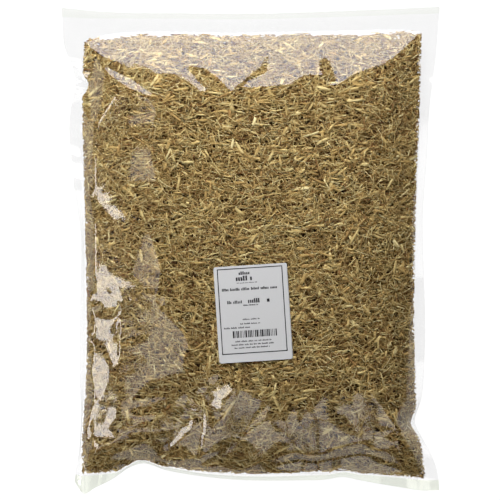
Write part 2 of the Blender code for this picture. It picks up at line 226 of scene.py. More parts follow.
def seam_height(u, v):
    """The seams stand highest at the middle of each side and sink to the corners."""
    across = 1 - np.sin(math.pi * np.clip(u, 0, 1)) ** SEAM_POWER
    along = 1 - np.sin(math.pi * np.clip(v, 0, 1)) ** SEAM_POWER
    return mix(SEAM_CORNER_HEIGHT, SEAM_MIDDLE_HEIGHT, 1 - across * along)


def fullness(u, v, shoulder, roundness):
    """0 on a seam, 1 past the shoulder. The rise from a side and the rise from an end join round a corner."""
    from_side = np.minimum(u, 1 - u) * POCKET_WIDTH / shoulder
    from_end = np.minimum(v, 1 - v) * POCKET_HEIGHT / shoulder
    short_of_side = np.clip(1 - from_side, 0, 1) ** roundness
    short_of_end = np.clip(1 - from_end, 0, 1) ** roundness
    short = (short_of_side**CORNER_POWER + short_of_end**CORNER_POWER) ** (1 / CORNER_POWER)
    return 1 - np.minimum(short, 1)


def domed_height(u, v):
    """The front as the frame has it: from the seam up to a crowned top with two slow waves across it."""
    x, y = pocket_plan(u, v)
    crown = CROWN * (1 - (2 * u - 1) ** 2) * (1 - (2 * v - 1) ** 2)
    waves = 0
    for way_x, way_y, length, start in LUMP_WAVES:
        waves = waves + np.sin(2 * math.pi * (way_x * x + way_y * y) / (length * LUMP_LENGTH) + start)
    top = TOP_HEIGHT + crown + LUMP_HEIGHT * waves
    return mix(seam_height(u, v), top, fullness(u, v, FRONT_SHOULDER, FRONT_ROUNDNESS))


def back_height(u, v):
    """From the seam down to the flat middle that the pouch lies on."""
    flat = FRAME_FILM + WEB_GAP / 2
    return mix(seam_height(u, v), flat, fullness(u, v, BACK_SHOULDER, BACK_ROUNDNESS))


print("the middle of the front is", round(float(domed_height(0.5, 0.5) / MM), 1), "mm high")

# %% [markdown]
# ## Folds in the film
#
# Film can bend but it can't stretch, so over a domed fill it breaks into flat facets with sharp folds
# between. A photograph doesn't show how high the folds are. It shows slopes: seen from straight above, film
# with a slope t mirrors what stands at 90 - 2t degrees over the table, on the side that the film faces.
# Where a light panel stands there, the film turns pale, and elsewhere it stays clear.
#
# So the panels come first, each with its window: the facings and slopes of the film that shows it. Then the
# folds are given as patches of film, each with the way it faces and the least and most slope it may have.
# All other film keeps the slopes of the dome, made a little steeper or gentler where it would show a panel.
#
# Slopes drawn one by one never quite fit together, so the height that comes closest to all of them is worked
# out: the sum of the squared misses in slope is made as small as it can be, which is one large set of linear
# equations. The method of conjugate gradients solves it. A patch may take any slope in its range, so the
# nearest one is looked up again after each solution, and where the film is still on the wrong side of a
# window, its weight grows. A weak pull keeps the film near the frame.

# %% Panels as the film shows them
# A panel shows in film that faces between the first two angles (0 is +X and 90 is +Y) and has a slope
# between the last two, all in degrees.
WINDOWS = {
    "panel_behind": (50, 130, 29, 47),
    "panel_left": (150, 222, 26, 34),
    "panel_left_high": (174, 226, 9, 17),
    "panel_in_front": (228, 288, 17, 27),
    "panel_in_front_right": (288, 345, 17, 27),
}
# How far the film stays away from a window, in degrees.
CLEARANCE = 2
print(len(WINDOWS), "windows")

# %% Patches of film
# The way a patch faces (degrees), its least and most slope in degrees, its weight, and its corners in
# millimetres. Later patches lie over earlier ones.
PATCHES = {
    "left shoulder, gentle": (180, 18, 24, 3, (
        (-124, 98), (-107, 124), (-81, 120), (-75, 111), (-81, 82), (-73, 51), (-80, 11), (-71, -15),
        (-75, -37), (-107, -41), (-125, -49))),
    "left shoulder, lower part": (180, 9, 23, 3, (
        (-125, -49), (-107, -41), (-105, -145), (-121, -157), (-126, -157))),
    "upper left corner, steep": (165, 36, 60, 4, (
        (-136, 164), (-120, 151), (-107, 124), (-124, 98), (-136, 98))),
    "left rim, steep": (180, 40, 58, 5, (
        (-137, 133), (-124, 131), (-123, 117), (-126, 90), (-124, 78), (-127, 70), (-124, 59), (-126, 51),
        (-124, 30), (-126, 20), (-124, 14), (-125, 8), (-137, 8))),
    "left rim, steeper": (180, 46, 56, 5, (
        (-137, 8), (-124, 8), (-125, -10), (-123, -33), (-127, -89), (-125, -153), (-131, -158),
        (-137, -158))),
    "bottom shoulder, gentle": (270, 0, 14, 2, (
        (-112, -147), (-81, -113), (88, -109), (120, -145), (76, -156), (40, -145), (3, -147),
        (-41, -141))),
    "bottom rim, steep": (270, 31, 50, 2, (
        (-134, -180), (-121, -157), (-81, -148), (-41, -147), (7, -153), (48, -153), (80, -157),
        (116, -153), (134, -184))),
    "right rim, upper part": (0, 24, 41, 4, ((120, 149), (136, 168), (139, 48), (120, 48))),
    "right rim, lower part": (0, 24, 42, 4, (
        (118, 48), (129, 48), (130, 28), (126, 12), (126, -121), (118, -121))),
    "band under the top seal": (90, 32, 44, 8, (
        (-136, 168), (-119, 155), (-81, 147), (-75, 140), (-57, 139), (-49, 147), (-36, 144), (-23, 133),
        (-16, 124), (-9, 127), (32, 130), (43, 139), (56, 139), (60, 131), (66, 129), (73, 131), (80, 138),
        (114, 154), (137, 174), (136, 178), (-136, 178))),
    "notch": (90, 0, 22, 8, ((-51, 146), (-36, 144), (-20, 128), (-11, 115), (-23, 122))),
    "slit": (90, 0, 22, 8, ((-14, 127), (9, 146), (12, 156), (15, 156), (12, 141), (-1, 135), (-9, 127))),
    "eye": (90, 0, 20, 8, ((56, 152), (61, 154), (67, 133), (61, 133), (57, 143))),
    "step in the band": (90, 0, 22, 8, ((41, 131), (44, 139), (56, 139), (58, 131))),
    "upper left crease": (100, 33, 42, 12, (
        (-120, 149), (-93, 135), (-75, 122), (-84, 122), (-97, 127), (-113, 139))),
    "crease below the band": (100, 33, 42, 12, (
        (-54, 160), (-54, 151), (-51, 143), (-34, 125), (-41, 125), (-54, 139), (-57, 147))),
    "left facet": (190, 28, 32, 8, (
        (-128, 45), (-123, 49), (-112, 51), (-111, 49), (-116, 45), (-111, 41), (-101, 45), (-99, 42),
        (-109, 37), (-95, 23), (-111, 25))),
    "left fleck": (184, 28, 32, 10, (
        (-124, -28), (-120, -14), (-115, -12), (-114, -18), (-100, -27), (-104, -29), (-109, -25),
        (-113, -25), (-114, -29))),
    "left ring": (187, 28, 32, 10, (
        (-130, -41), (-127, -36), (-123, -33), (-118, -30), (-112, -29), (-106, -31), (-103, -34),
        (-104, -39), (-108, -41), (-110, -46), (-107, -50), (-103, -49), (-100, -45), (-98, -48),
        (-115, -66), (-119, -67), (-126, -56), (-118, -49), (-116, -44), (-118, -41), (-124, -42),
        (-128, -44))),
    "dark line across the ring": (180, 6, 20, 10, (
        (-112, -62), (-109, -57), (-104, -52), (-103, -53), (-107, -59), (-111, -64))),
    "dark fleck in the ring": (180, 6, 20, 10, ((-116, -32), (-112, -31), (-110, -34), (-112, -36))),
    "clear heart of the ring": (180, 0, 16, 24, (
        (-126, -44), (-119, -43), (-117, -45), (-124, -53), (-127, -49))),
    "gap below the ring": (180, 0, 16, 24, (
        (-129, -68), (-122, -69), (-107, -64), (-106, -66), (-129, -74))),
    "left sliver": (187, 28, 32, 10, (
        (-96, -37), (-93, -40), (-96, -46), (-100, -50), (-102, -49), (-98, -44))),
    "left lens": (190, 28, 32, 10, (
        (-123, -68), (-107, -66), (-106, -70), (-107, -90), (-110, -93), (-116, -79), (-118, -78),
        (-113, -98), (-113, -103), (-119, -118), (-121, -120), (-124, -115), (-128, -98))),
    "left lens, its tail": (190, 28, 32, 16, (
        (-124, -121), (-121, -124), (-128, -140), (-128, -151), (-131, -154), (-132, -145), (-127, -126))),
    "lower left streak": (195, 28, 32, 10, (
        (-108, -126), (-107, -132), (-115, -144), (-128, -150), (-129, -147), (-124, -142), (-118, -140),
        (-112, -127))),
    "left sheen": (190, 11, 17, 6, (
        (-103, -45), (-81, -37), (-75, -45), (-53, -65), (-48, -77), (-52, -85), (-54, -117), (-61, -121),
        (-71, -123), (-75, -133), (-81, -141), (-101, -145), (-108, -143), (-104, -131), (-106, -109))),
    "crinkle above the pinch": (200, 30, 34, 24, (
        (-40, -115), (-17, -106), (-11, -111), (-15, -116), (-22, -120), (-22, -126), (-29, -126),
        (-34, -123), (-26, -115))),
    "crinkle left of it": (200, 30, 34, 24, (
        (-55, -124), (-49, -122), (-44, -123), (-39, -126), (-41, -129), (-48, -128))),
    "long fold from the pinch": (327, 19, 22, 8, (
        (6, -97), (8, -105), (-1, -119), (6, -123), (10, -123), (-7, -146), (-21, -150), (-29, -155),
        (-35, -163), (-38, -161), (-31, -145), (-14, -123), (-6, -106), (-1, -100))),
    "fold left of the long one": (250, 19, 25, 8, (
        (-57, -148), (-52, -144), (-47, -143), (-38, -132), (-40, -156), (-43, -168), (-54, -156),
        (-60, -160), (-62, -156))),
    "crinkle beside that fold": (198, 30, 34, 24, (
        (-39, -126), (-34, -130), (-34, -143), (-36, -149), (-38, -164), (-42, -169), (-41, -153),
        (-38, -140))),
    "zigzag crinkle": (200, 30, 34, 24, (
        (-67, -156), (-59, -148), (-58, -143), (-50, -140), (-49, -136), (-44, -135), (-48, -146),
        (-53, -147), (-55, -151), (-64, -159))),
    "fold at its foot": (290, 19, 25, 12, (
        (-10, -151), (-11, -156), (-23, -169), (-30, -174), (-38, -173), (-34, -168), (-25, -164))),
    "fold right of it": (285, 19, 25, 8, (
        (15, -133), (16, -142), (19, -148), (18, -155), (14, -161), (2, -170), (1, -163), (3, -158),
        (-4, -147))),
    "wide facet at the bottom": (270, 19, 25, 8, (
        (19, -138), (22, -135), (27, -136), (38, -146), (44, -147), (40, -138), (46, -129), (50, -130),
        (73, -147), (89, -153), (64, -160), (60, -164), (42, -163), (36, -160), (27, -163), (32, -156),
        (29, -148))),
    "edge of the bottom": (270, 19, 25, 12, (
        (20, -174), (40, -168), (49, -171), (86, -164), (96, -164), (101, -170), (124, -179), (80, -182),
        (56, -181), (24, -177))),
    "fleck above the wide facet": (250, 19, 25, 8, (
        (69, -130), (73, -125), (81, -123), (85, -135), (83, -142), (77, -131))),
    "lower right facet": (270, 19, 25, 8, (
        (93, -147), (113, -144), (108, -151), (114, -153), (109, -161), (98, -160))),
}
print(len(PATCHES), "patches with", sum(len(patch[-1]) for patch in PATCHES.values()), "corners")

# %% The label's place, where the film lies still
LABEL_WIDTH, LABEL_HEIGHT = 58.5 * MM, 76.5 * MM
LABEL_CENTRE = (1.9 * MM, -50.5 * MM)
LABEL_TURN = math.radians(3.7)
LABEL_EASE = 8 * MM


def label_plan(across, up):
    """X and Y of a point of the label, given from its middle, along its width and its height."""
    x = LABEL_CENTRE[0] + across * math.cos(LABEL_TURN) - up * math.sin(LABEL_TURN)
    y = LABEL_CENTRE[1] + across * math.sin(LABEL_TURN) + up * math.cos(LABEL_TURN)
    return x, y


def under_label(x, y):
    """1 under the label, easing to 0 over a few millimetres round it."""
    dx, dy = x - LABEL_CENTRE[0], y - LABEL_CENTRE[1]
    across = np.abs(dx * math.cos(LABEL_TURN) + dy * math.sin(LABEL_TURN)) - LABEL_WIDTH / 2
    up = np.abs(dy * math.cos(LABEL_TURN) - dx * math.sin(LABEL_TURN)) - LABEL_HEIGHT / 2
    return np.clip(1 - np.maximum(across, up) / LABEL_EASE, 0, 1)


print("the label's middle is at", [round(x / MM, 1) for x in LABEL_CENTRE], "mm")

# %% The slopes that are wanted
# How much a patch may fall across its facing, as a slope, and by how much a slope may miss its aim.
MOST_ACROSS = 0.18
FALL_MISS, ACROSS_MISS = 0.03, 0.10
# Gentler film than this counts as this steep, so that nothing is divided by zero.
LEAST_SLOPE = 1e-6


def within(x, y, corners):
    """True inside the polygon: a line from there to the left crosses its edges an odd number of times."""
    odd = np.zeros(x.shape, bool)
    corners = np.array(corners) * MM
    for (x0, y0), (x1, y1) in zip(corners, np.roll(corners, -1, axis=0)):
        if y0 != y1:
            odd ^= ((y0 > y) != (y1 > y)) & (x < (x1 - x0) * (y - y0) / (y1 - y0) + x0)
    return odd


def in_patch(slope_x, slope_y, facing, least, most):
    """Clips the fall towards one side between two angles, and the fall across it to a few degrees.

    Also says where the film still misses them.
    """
    to_x, to_y = math.cos(math.radians(facing)), math.sin(math.radians(facing))
    fall, across = -slope_x * to_x - slope_y * to_y, slope_y * to_x - slope_x * to_y
    kept = np.clip(fall, math.tan(math.radians(least)), math.tan(math.radians(most)))
    level = np.clip(across, -MOST_ACROSS, MOST_ACROSS)
    misses = (np.abs(kept - fall) > FALL_MISS) | (np.abs(level - across) > ACROSS_MISS)
    return -kept * to_x - level * to_y, level * to_x - kept * to_y, misses


def out_of_windows(dome_x, dome_y, slope_x, slope_y):
    """The dome's slopes, moved out of each window to the side of it that the film is on now.

    Also says where the film still shows a panel.
    """
    facing = np.degrees(np.arctan2(-slope_y, -slope_x))
    now = np.degrees(np.arctan(np.hypot(slope_x, slope_y)))
    steepness = np.hypot(dome_x, dome_y)
    wanted = np.degrees(np.arctan(steepness))
    shows = np.zeros(now.shape, bool)
    for start, end, least, most in WINDOWS.values():
        low, high = least - CLEARANCE, most + CLEARANCE
        faces_it = (facing - start + CLEARANCE) % 360 < end - start + 2 * CLEARANCE
        would_show = faces_it & (wanted > low) & (wanted < high)
        wanted = np.where(would_show, np.where(now > (low + high) / 2, high, low), wanted)
        shows |= faces_it & (now > least) & (now < most)
    ratio = np.tan(np.radians(wanted)) / np.maximum(steepness, LEAST_SLOPE)
    return dome_x * ratio, dome_y * ratio, shows


# %% Grid of the relief
# The grid that the relief is worked out on. Its points lie a millimetre apart, as fine as the folds need.
RELIEF_STEP = 1.0 * MM
RELIEF_X = np.arange(-143, 144) * RELIEF_STEP
RELIEF_Y = np.arange(-188, 180) * RELIEF_STEP
LABEL_WEIGHT = 8


def between(values, axis):
    """The mean of each two neighbours along an axis."""
    return (np.delete(values, 0, axis) + np.delete(values, -1, axis)) / 2


def spill(flow_x, flow_y, shape):
    """What each grid point gains from the flows between it and its neighbours: minus the divergence."""
    gained = np.zeros(shape)
    gained[:, :-1] -= flow_x
    gained[:, 1:] += flow_x
    gained[:-1] -= flow_y
    gained[1:] += flow_y
    return gained


def owners(x, y):
    """The number of the patch that each grid point lies in, 0 for none, and the weight of its slopes."""
    owner = np.zeros(x.shape, int)
    weight = np.where(under_label(x, y) > 0, LABEL_WEIGHT, 1)
    for number, (_, _, _, patch_weight, corners) in enumerate(PATCHES.values(), start=1):
        hit = within(x, y, corners)
        owner[hit] = number
        weight[hit] = patch_weight
    return owner, weight


def wanted_slopes(dome_x, dome_y, slope_x, slope_y, owner):
    """The slopes that are wanted, in the patches and out of them, and where the film misses them."""
    wanted_x, wanted_y, misses = out_of_windows(dome_x, dome_y, slope_x, slope_y)
    for number, (facing, least, most, _, _) in enumerate(PATCHES.values(), start=1):
        hit = owner == number
        found = in_patch(slope_x[hit], slope_y[hit], facing, least, most)
        wanted_x[hit], wanted_y[hit], misses[hit] = found
    return wanted_x, wanted_y, misses


print("relief grid of", len(RELIEF_X), "by", len(RELIEF_Y), "points")

# %% The height that fits them best
# Over this length a miss in height counts as much as a miss in slope.
PULL_LENGTH = 32 * MM
# How often slopes are looked up, and how many steps of the solver follow each time.
LOOKUPS, STEPS_EACH = 20, 60
# From which lookup on the weights of misses grow, by what factor each time, and to what at most.
GROWTH_FROM, GROWTH, MOST_GROWTH = 4, 1.25, 8


def solved(height, miss, equations):
    """Conjugate gradients: each step goes one way, as far as that lowers the miss, and picks the next way."""
    way = miss.copy()
    for _ in range(STEPS_EACH):
        size = (miss**2).sum()
        change = equations(way)
        step = size / (way * change).sum()
        height = height + step * way
        miss = miss - step * change
        way = miss + (miss**2).sum() / size * way
    return height


def fitted_relief():
    """The height to add to the dome so that its slopes come as close as they can to those that are wanted."""
    x, y = np.meshgrid(RELIEF_X, RELIEF_Y)
    u, v = plan_to_uv(x, y)
    free = (np.abs(u - 0.5) < 0.5) & (np.abs(v - 0.5) < 0.5)
    dome = domed_height(np.clip(u, 0, 1), np.clip(v, 0, 1))
    dome_y, dome_x = np.gradient(dome, RELIEF_STEP)
    owner, weight = owners(x, y)
    still = under_label(x, y) > 0
    growth, relief = np.ones_like(dome), np.zeros_like(dome)
    pull = (RELIEF_STEP / PULL_LENGTH) ** 2
    for lookup in range(LOOKUPS):
        slope_y, slope_x = np.gradient(dome + relief, RELIEF_STEP)
        wanted_x, wanted_y, misses = wanted_slopes(dome_x, dome_y, slope_x, slope_y, owner)
        if lookup >= GROWTH_FROM:
            growth = np.where(misses & ~still, np.minimum(growth * GROWTH, MOST_GROWTH), growth)
        weight_x, weight_y = between(weight * growth, 1), between(weight * growth, 0)

        def equations(height):
            """What the flows down a height spill at each point, plus the pull, which the aim has to equal."""
            flow_x, flow_y = weight_x * np.diff(height, axis=1), weight_y * np.diff(height, axis=0)
            return np.where(free, spill(flow_x, flow_y, height.shape) + pull * height, 0)

        aim_x, aim_y = weight_x * between(wanted_x - dome_x, 1), weight_y * between(wanted_y - dome_y, 0)
        aim = np.where(free, spill(aim_x, aim_y, dome.shape) * RELIEF_STEP, 0)
        relief = solved(relief, aim - equations(relief), equations)
    return relief


RELIEF = fitted_relief()
print("relief from", round(RELIEF.min() / MM, 1), "to", round(RELIEF.max() / MM, 1), "mm")

# %% Front and back with their folds
# Places are kept this much short of the number of grid lines, so that each has a line after it.
LAST_CELL = 1.001
# Half the gap that splinters hold open at the seams, and how far inwards it reaches.
PARTING = 0.65 * MM
PARTING_REACH = 9 * MM


def relief_at(x, y):
    """The relief between its grid points, mixed from the four nearest."""
    column = np.clip((x - RELIEF_X[0]) / RELIEF_STEP, 0, len(RELIEF_X) - LAST_CELL)
    row = np.clip((y - RELIEF_Y[0]) / RELIEF_STEP, 0, len(RELIEF_Y) - LAST_CELL)
    i, j = column.astype(int), row.astype(int)
    low = mix(RELIEF[j, i], RELIEF[j, i + 1], column - i)
    high = mix(RELIEF[j + 1, i], RELIEF[j + 1, i + 1], column - i)
    return mix(low, high, row - j)


def to_seam(u, v):
    """The distance to the nearest seam."""
    return np.minimum(np.minimum(u, 1 - u) * POCKET_WIDTH, np.minimum(v, 1 - v) * POCKET_HEIGHT)


def parting(u, v):
    """Half the gap that the splinters at the seam hold open between the webs."""
    return PARTING * np.clip(1 - to_seam(u, v) / PARTING_REACH, 0, 1)


def front_height(u, v):
    """The front: the dome, the relief that fits the patches, and the parting at the seams."""
    return domed_height(u, v) + relief_at(*pocket_plan(u, v)) + parting(u, v)


def rear_height(u, v):
    """The back, parted from the front at the seams."""
    return back_height(u, v) - parting(u, v)


print("the middle of the folded front is", round(float(front_height(0.5, 0.5) / MM), 1), "mm high")

# %% [markdown]
# ## Helpers for meshes and materials
#
# Every surface below is worked out as whole arrays. One function turns an array of points and arrays of
# faces into a mesh. Random relief comes from value noise: random heights on a square lattice, blended inside
# each square. Colours are written as the hex values that a colour picker shows, and one function turns them
# into the linear light that the renderer works in.

# %% Mesh helpers
# The lattice of random heights repeats after this many squares.
LATTICE = 97


def mesh_of(name, points, *groups):
    """A mesh from an array of points (n, 3) and arrays of faces, each (m, 3) or (m, 4)."""
    corners = np.concatenate([faces.ravel() for faces in groups])
    sizes = np.concatenate([np.full(len(faces), faces.shape[1]) for faces in groups])
    mesh = bpy.data.meshes.new(name)
    mesh.vertices.add(len(points))
    mesh.vertices.foreach_set("co", np.ascontiguousarray(points, np.float32).ravel())
    mesh.loops.add(len(corners))
    mesh.loops.foreach_set("vertex_index", corners.astype(np.int32))
    mesh.polygons.add(len(sizes))
    mesh.polygons.foreach_set("loop_start", (np.cumsum(sizes) - sizes).astype(np.int32))
    mesh.update(calc_edges=True)
    return mesh


def grid_faces(rows, columns):
    """The faces of a grid of points, row by row, each turning anticlockwise seen from above."""
    corner = (np.arange(rows - 1)[:, None] * columns + np.arange(columns - 1)).ravel()
    return np.stack([corner, corner + 1, corner + columns + 1, corner + columns], axis=1)


def piece(name, mesh, material):
    """An object at the origin that rides on the frame's one body."""
    made = bpy.data.objects.new(name, mesh)
    mesh.materials.append(material)
    bpy.context.scene.collection.objects.link(made)
    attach(made, "root")
    return made


def thicken(sheet, name, thickness):
    """Gives a sheet its thickness, all of it on its outer side."""
    layer = sheet.modifiers.new(name, "SOLIDIFY")
    layer.thickness = thickness
    layer.offset = 1


def point_values(mesh, name, values):
    """A number for each point, which a material can read by its name."""
    attribute = mesh.attributes.new(name, "FLOAT", "POINT")
    attribute.data.foreach_set("value", np.ascontiguousarray(values, np.float32).ravel())


def value_noise(x, y, size, seed):
    """Random heights from -1 to 1 at the corners of squares of that size, eased into each other inside."""
    heights = np.random.default_rng(seed).uniform(-1, 1, (LATTICE, LATTICE))
    cell_x, cell_y = np.floor(x / size).astype(int), np.floor(y / size).astype(int)
    t_x, t_y = x / size - cell_x, y / size - cell_y
    t_x, t_y = t_x**2 * (3 - 2 * t_x), t_y**2 * (3 - 2 * t_y)
    left, right, below, above = (cell % LATTICE for cell in (cell_x, cell_x + 1, cell_y, cell_y + 1))
    low = mix(heights[left, below], heights[right, below], t_x)
    high = mix(heights[left, above], heights[right, above], t_x)
    return mix(low, high, t_y)


# %% Material helpers
def linear(code):
    """A hex colour such as "#C8B27A", turned into linear red, green, blue and 1 by the sRGB curve."""
    share = np.array([int(code[i:i + 2], 16) for i in (1, 3, 5)]) / 255
    light = np.where(share <= 0.04045, share / 12.92, ((share + 0.055) / 1.055) ** 2.4)
    return (*light.tolist(), 1.0)


def empty_material(name):
    """A material with nothing in it but its output."""
    material = bpy.data.materials.new(name)
    material.use_nodes = True
    material.node_tree.nodes.clear()
    return material, add_node(material, "ShaderNodeOutputMaterial")


def add_node(material, kind, settings=(), values=(), links=()):
    """One node: its settings, its sockets' values and the sockets that feed it, each by name or number."""
    node = material.node_tree.nodes.new(kind)
    for name, value in dict(settings).items():
        setattr(node, name, value)
    for socket, value in dict(values).items():
        node.inputs[socket].default_value = value
    for socket, source in dict(links).items():
        material.node_tree.links.new(source, node.inputs[socket])
    return node


def join(material, source, target):
    """A link from an output socket to an input socket."""
    material.node_tree.links.new(source, target)


def ramp_colours(node, stops):
    """Sets a colour ramp's stops from pairs of place and hex colour."""
    elements = node.color_ramp.elements
    while len(elements) < len(stops):
        elements.new(1.0)
    for element, (place, code) in zip(elements, stops):
        element.position = place
        element.color = linear(code)


print("middle grey is", round(linear("#808080")[0], 3), "of the light of white")

# %% [markdown]
# ## The film
#
# The film is cast polyethylene, about a tenth of a millimetre thick, and as clear as such film gets. Light
# passes straight through it, and a few hundredths shine back from each side of it, more where the film is
# seen aslant. So its shader mixes a transparent part with a glossy part, by how far the face is turned away.
# The welded bands were melted, so they are a little milky: they let slightly less light through. The bottom
# margin lets still less through, partly milky weld and partly painted shade. A fine unevenness of a few
# millimetres, from the rollers and from the splinters pressing on it, comes as bump.

# %% Polyethylene film material
SHINE_HEAD_ON = 0.038
SHINE_POWER = 5.0
FILM_CLEAR = "#FEFEFE"
# The welded tint also darkens the bottom margin, where it is partly painted shade.
FILM_WELD_AND_SHADE = "#FAFBF8"
FILM_ROUGHNESS = 0.11
DENT_SIZE, DENT_DETAIL = 4.5 * MM, 2.0
DENT_STRENGTH, DENT_DEPTH = 0.15, 0.25 * MM


def polyethylene_film():
    """Transparent and glossy, mixed by the share that shines back.

    The share is about 4 % head on, and the rest comes in with the fifth power of how far the face is turned.
    """
    film, output = empty_material("cast_polyethylene_film")
    turned = add_node(film, "ShaderNodeLayerWeight", values={"Blend": 0.5})
    power = add_node(film, "ShaderNodeMath", {"operation": "POWER"}, {1: SHINE_POWER},
                     {0: turned.outputs["Facing"]})
    share = add_node(film, "ShaderNodeMath", {"operation": "MULTIPLY_ADD"},
                     {1: 1 - SHINE_HEAD_ON, 2: SHINE_HEAD_ON}, {0: power.outputs[0]})
    weld_and_shade = add_node(film, "ShaderNodeAttribute", {"attribute_name": "weld_and_shade"})
    tint = add_node(film, "ShaderNodeMix", {"data_type": "RGBA"},
                    {6: linear(FILM_CLEAR), 7: linear(FILM_WELD_AND_SHADE)}, {0: weld_and_shade.outputs["Fac"]})
    place = add_node(film, "ShaderNodeTexCoord")
    dents = add_node(film, "ShaderNodeTexNoise", {}, {"Scale": 1 / DENT_SIZE, "Detail": DENT_DETAIL},
                     {"Vector": place.outputs["Object"]})
    bump = add_node(film, "ShaderNodeBump", {}, {"Strength": DENT_STRENGTH, "Distance": DENT_DEPTH},
                    {"Height": dents.outputs[0]})
    clear = add_node(film, "ShaderNodeBsdfTransparent", links={"Color": tint.outputs[2]})
    gloss = add_node(film, "ShaderNodeBsdfGlossy", {}, {"Roughness": FILM_ROUGHNESS},
                     {"Normal": bump.outputs["Normal"]})
    both = add_node(film, "ShaderNodeMixShader",
                    links={0: share.outputs[0], 1: clear.outputs[0], 2: gloss.outputs[0]})
    join(film, both.outputs[0], output.inputs["Surface"])
    return film


film_material = polyethylene_film()
print("film:", film_material.name)

# %% [markdown]
# Each web is one grid of points: the pocket, and round it the margin where the two webs are welded. The
# margin runs from the seam to the cut edge. It keeps its width, so where it looks narrow from above it hangs
# down. The lines of the grid are closest where the folds are finest: under the top seal, at the left and at
# the bottom. The welds at the sides don't show. The strip across the top, pressed by a ribbed jaw, is a
# little milky. The bottom margin is darker still: partly milky weld, partly painted shade.

# %% Grid lines of the webs
# Where the spacing of the grid lines changes, and how many steps there are up to there.
FRONT_COLUMNS = ((0.16, 56), (0.50, 84), (1.0, 56))
FRONT_ROWS = ((0.24, 76), (0.46, 58), (0.66, 30), (0.80, 12), (1.0, 48))
BACK_COLUMNS = ((1.0, 60),)
BACK_ROWS = ((1.0, 80),)
# Where lines run along the margin: shares of the way from the cut edge to the seam.
MARGIN_LINES = (0.03, 0.28, 0.32, 0.60, 0.85)


def uneven_lines(spans):
    """Lines from 0 to 1, evenly spaced within each span."""
    lines, start = [], 0
    for end, steps in spans:
        lines.append(np.linspace(start, end, steps + 1)[:-1])
        start = end
    return np.concatenate([*lines, [1.0]])


def split_rim(values):
    """Cuts the first and the last strip of a grid at the margin's lines, by straight interpolation."""
    shares = np.array(MARGIN_LINES).reshape(-1, *[1] * (values.ndim - 1))
    first, last = mix(values[0], values[1], shares), mix(values[-1], values[-2], shares)[::-1]
    return np.concatenate([values[:1], first, values[1:-1], last, values[-1:]])


def split_both(values):
    """The same for the rim on all four sides of a grid."""
    return split_rim(split_rim(values).swapaxes(0, 1)).swapaxes(0, 1)


print("front:", len(uneven_lines(FRONT_COLUMNS)), "by", len(uneven_lines(FRONT_ROWS)), "lines in the pocket")

# %% Margins and welds
# How milky the top weld is, how dark the bottom margin is (partly milky weld, partly painted shade),
# and which share of the top margin is welded.
TOP_MILK, BOTTOM_MILK_AND_SHADE, TOP_WELD = 0.3, 0.9, 0.30


def margin_height(seam, plan_width, sag):
    """A margin keeps its width: where it looks narrow from above, the rest hangs down from the seam."""
    hidden = np.sqrt(np.maximum(SEAL_WIDTH**2 - plan_width**2, sag**2))
    return np.maximum(seam - hidden, LOWEST_MARGIN)


def web_places(u, v, height, lift):
    """The points of a web, with one ring round the pocket that lies on the cut edge."""
    rows, columns = u.shape
    places = np.zeros((rows + 2, columns + 2, 3))
    places[1:-1, 1:-1] = np.stack([*pocket_plan(u, v), height(u, v)], axis=-1)
    inside = slice(1, -1)
    margins = {
        "left": ((inside, 0), (inside, 1), 0),
        "right": ((inside, -1), (inside, -2), 0),
        "bottom": ((0, inside), (1, inside), 1),
        "top": ((-1, inside), (-2, inside), 1),
    }
    for side, (outer, seam, out) in margins.items():
        places[outer] = places[seam]
        places[outer + (out,)] = through(EDGE[side], places[seam + (1 - out,)])
        width = np.abs(places[outer + (out,)] - places[seam + (out,)])
        sag = TOP_SAG if side == "top" else SIDE_SAG
        places[outer + (2,)] = margin_height(places[seam + (2,)], width, sag)
    for row, side in ((0, "bottom"), (-1, "top")):
        for column in (0, -1):
            places[row, column] = (*EDGE[side][column], SEAM_CORNER_HEIGHT - SIDE_SAG)
    places[..., 2] += lift
    return split_both(places)


def weld_and_shade_marks(rows, columns):
    """A little milky weld in the strip across the top, weld and painted shade in the bottom margin, 0
    elsewhere.
    """
    top, bottom = np.zeros((2, rows + 2, columns + 2))
    top[-1], bottom[0] = 1, 1
    return TOP_MILK * (split_both(top) > 1 - TOP_WELD) + BOTTOM_MILK_AND_SHADE * (split_both(bottom) > 0)


top_margin = EDGE["top"][0][1] - POCKET["top"][0][1]
print("the welded strip at the top is", round(TOP_WELD * top_margin / MM, 1), "mm wide at the left")

# %% Front and back web
FILM = 0.12 * MM
BACK_LIFT = FILM - FRAME_FILM - WEB_GAP / 2
# The dents that the fill presses into the front: their size and depth. Finer ones have a share of both.
PRESS_SIZE, PRESS_DEPTH = 11 * MM, 0.06 * MM
PRESS_SEED, FINE_SEED, FINE_SHARE = 5, 6, 0.4
# Over this distance from a seam the dents come in.
PRESS_FADE = 10 * MM


def pressed_front(u, v):
    """The front with the soft dents that the fill presses into it, which end at the label and the seams."""
    x, y = pocket_plan(u, v)
    free = np.clip(to_seam(u, v) / PRESS_FADE, 0, 1) * (1 - under_label(x, y))
    fine = value_noise(x, y, FINE_SHARE * PRESS_SIZE, FINE_SEED)
    dents = value_noise(x, y, PRESS_SIZE, PRESS_SEED) + FINE_SHARE * fine
    return front_height(u, v) + PRESS_DEPTH * dents * free


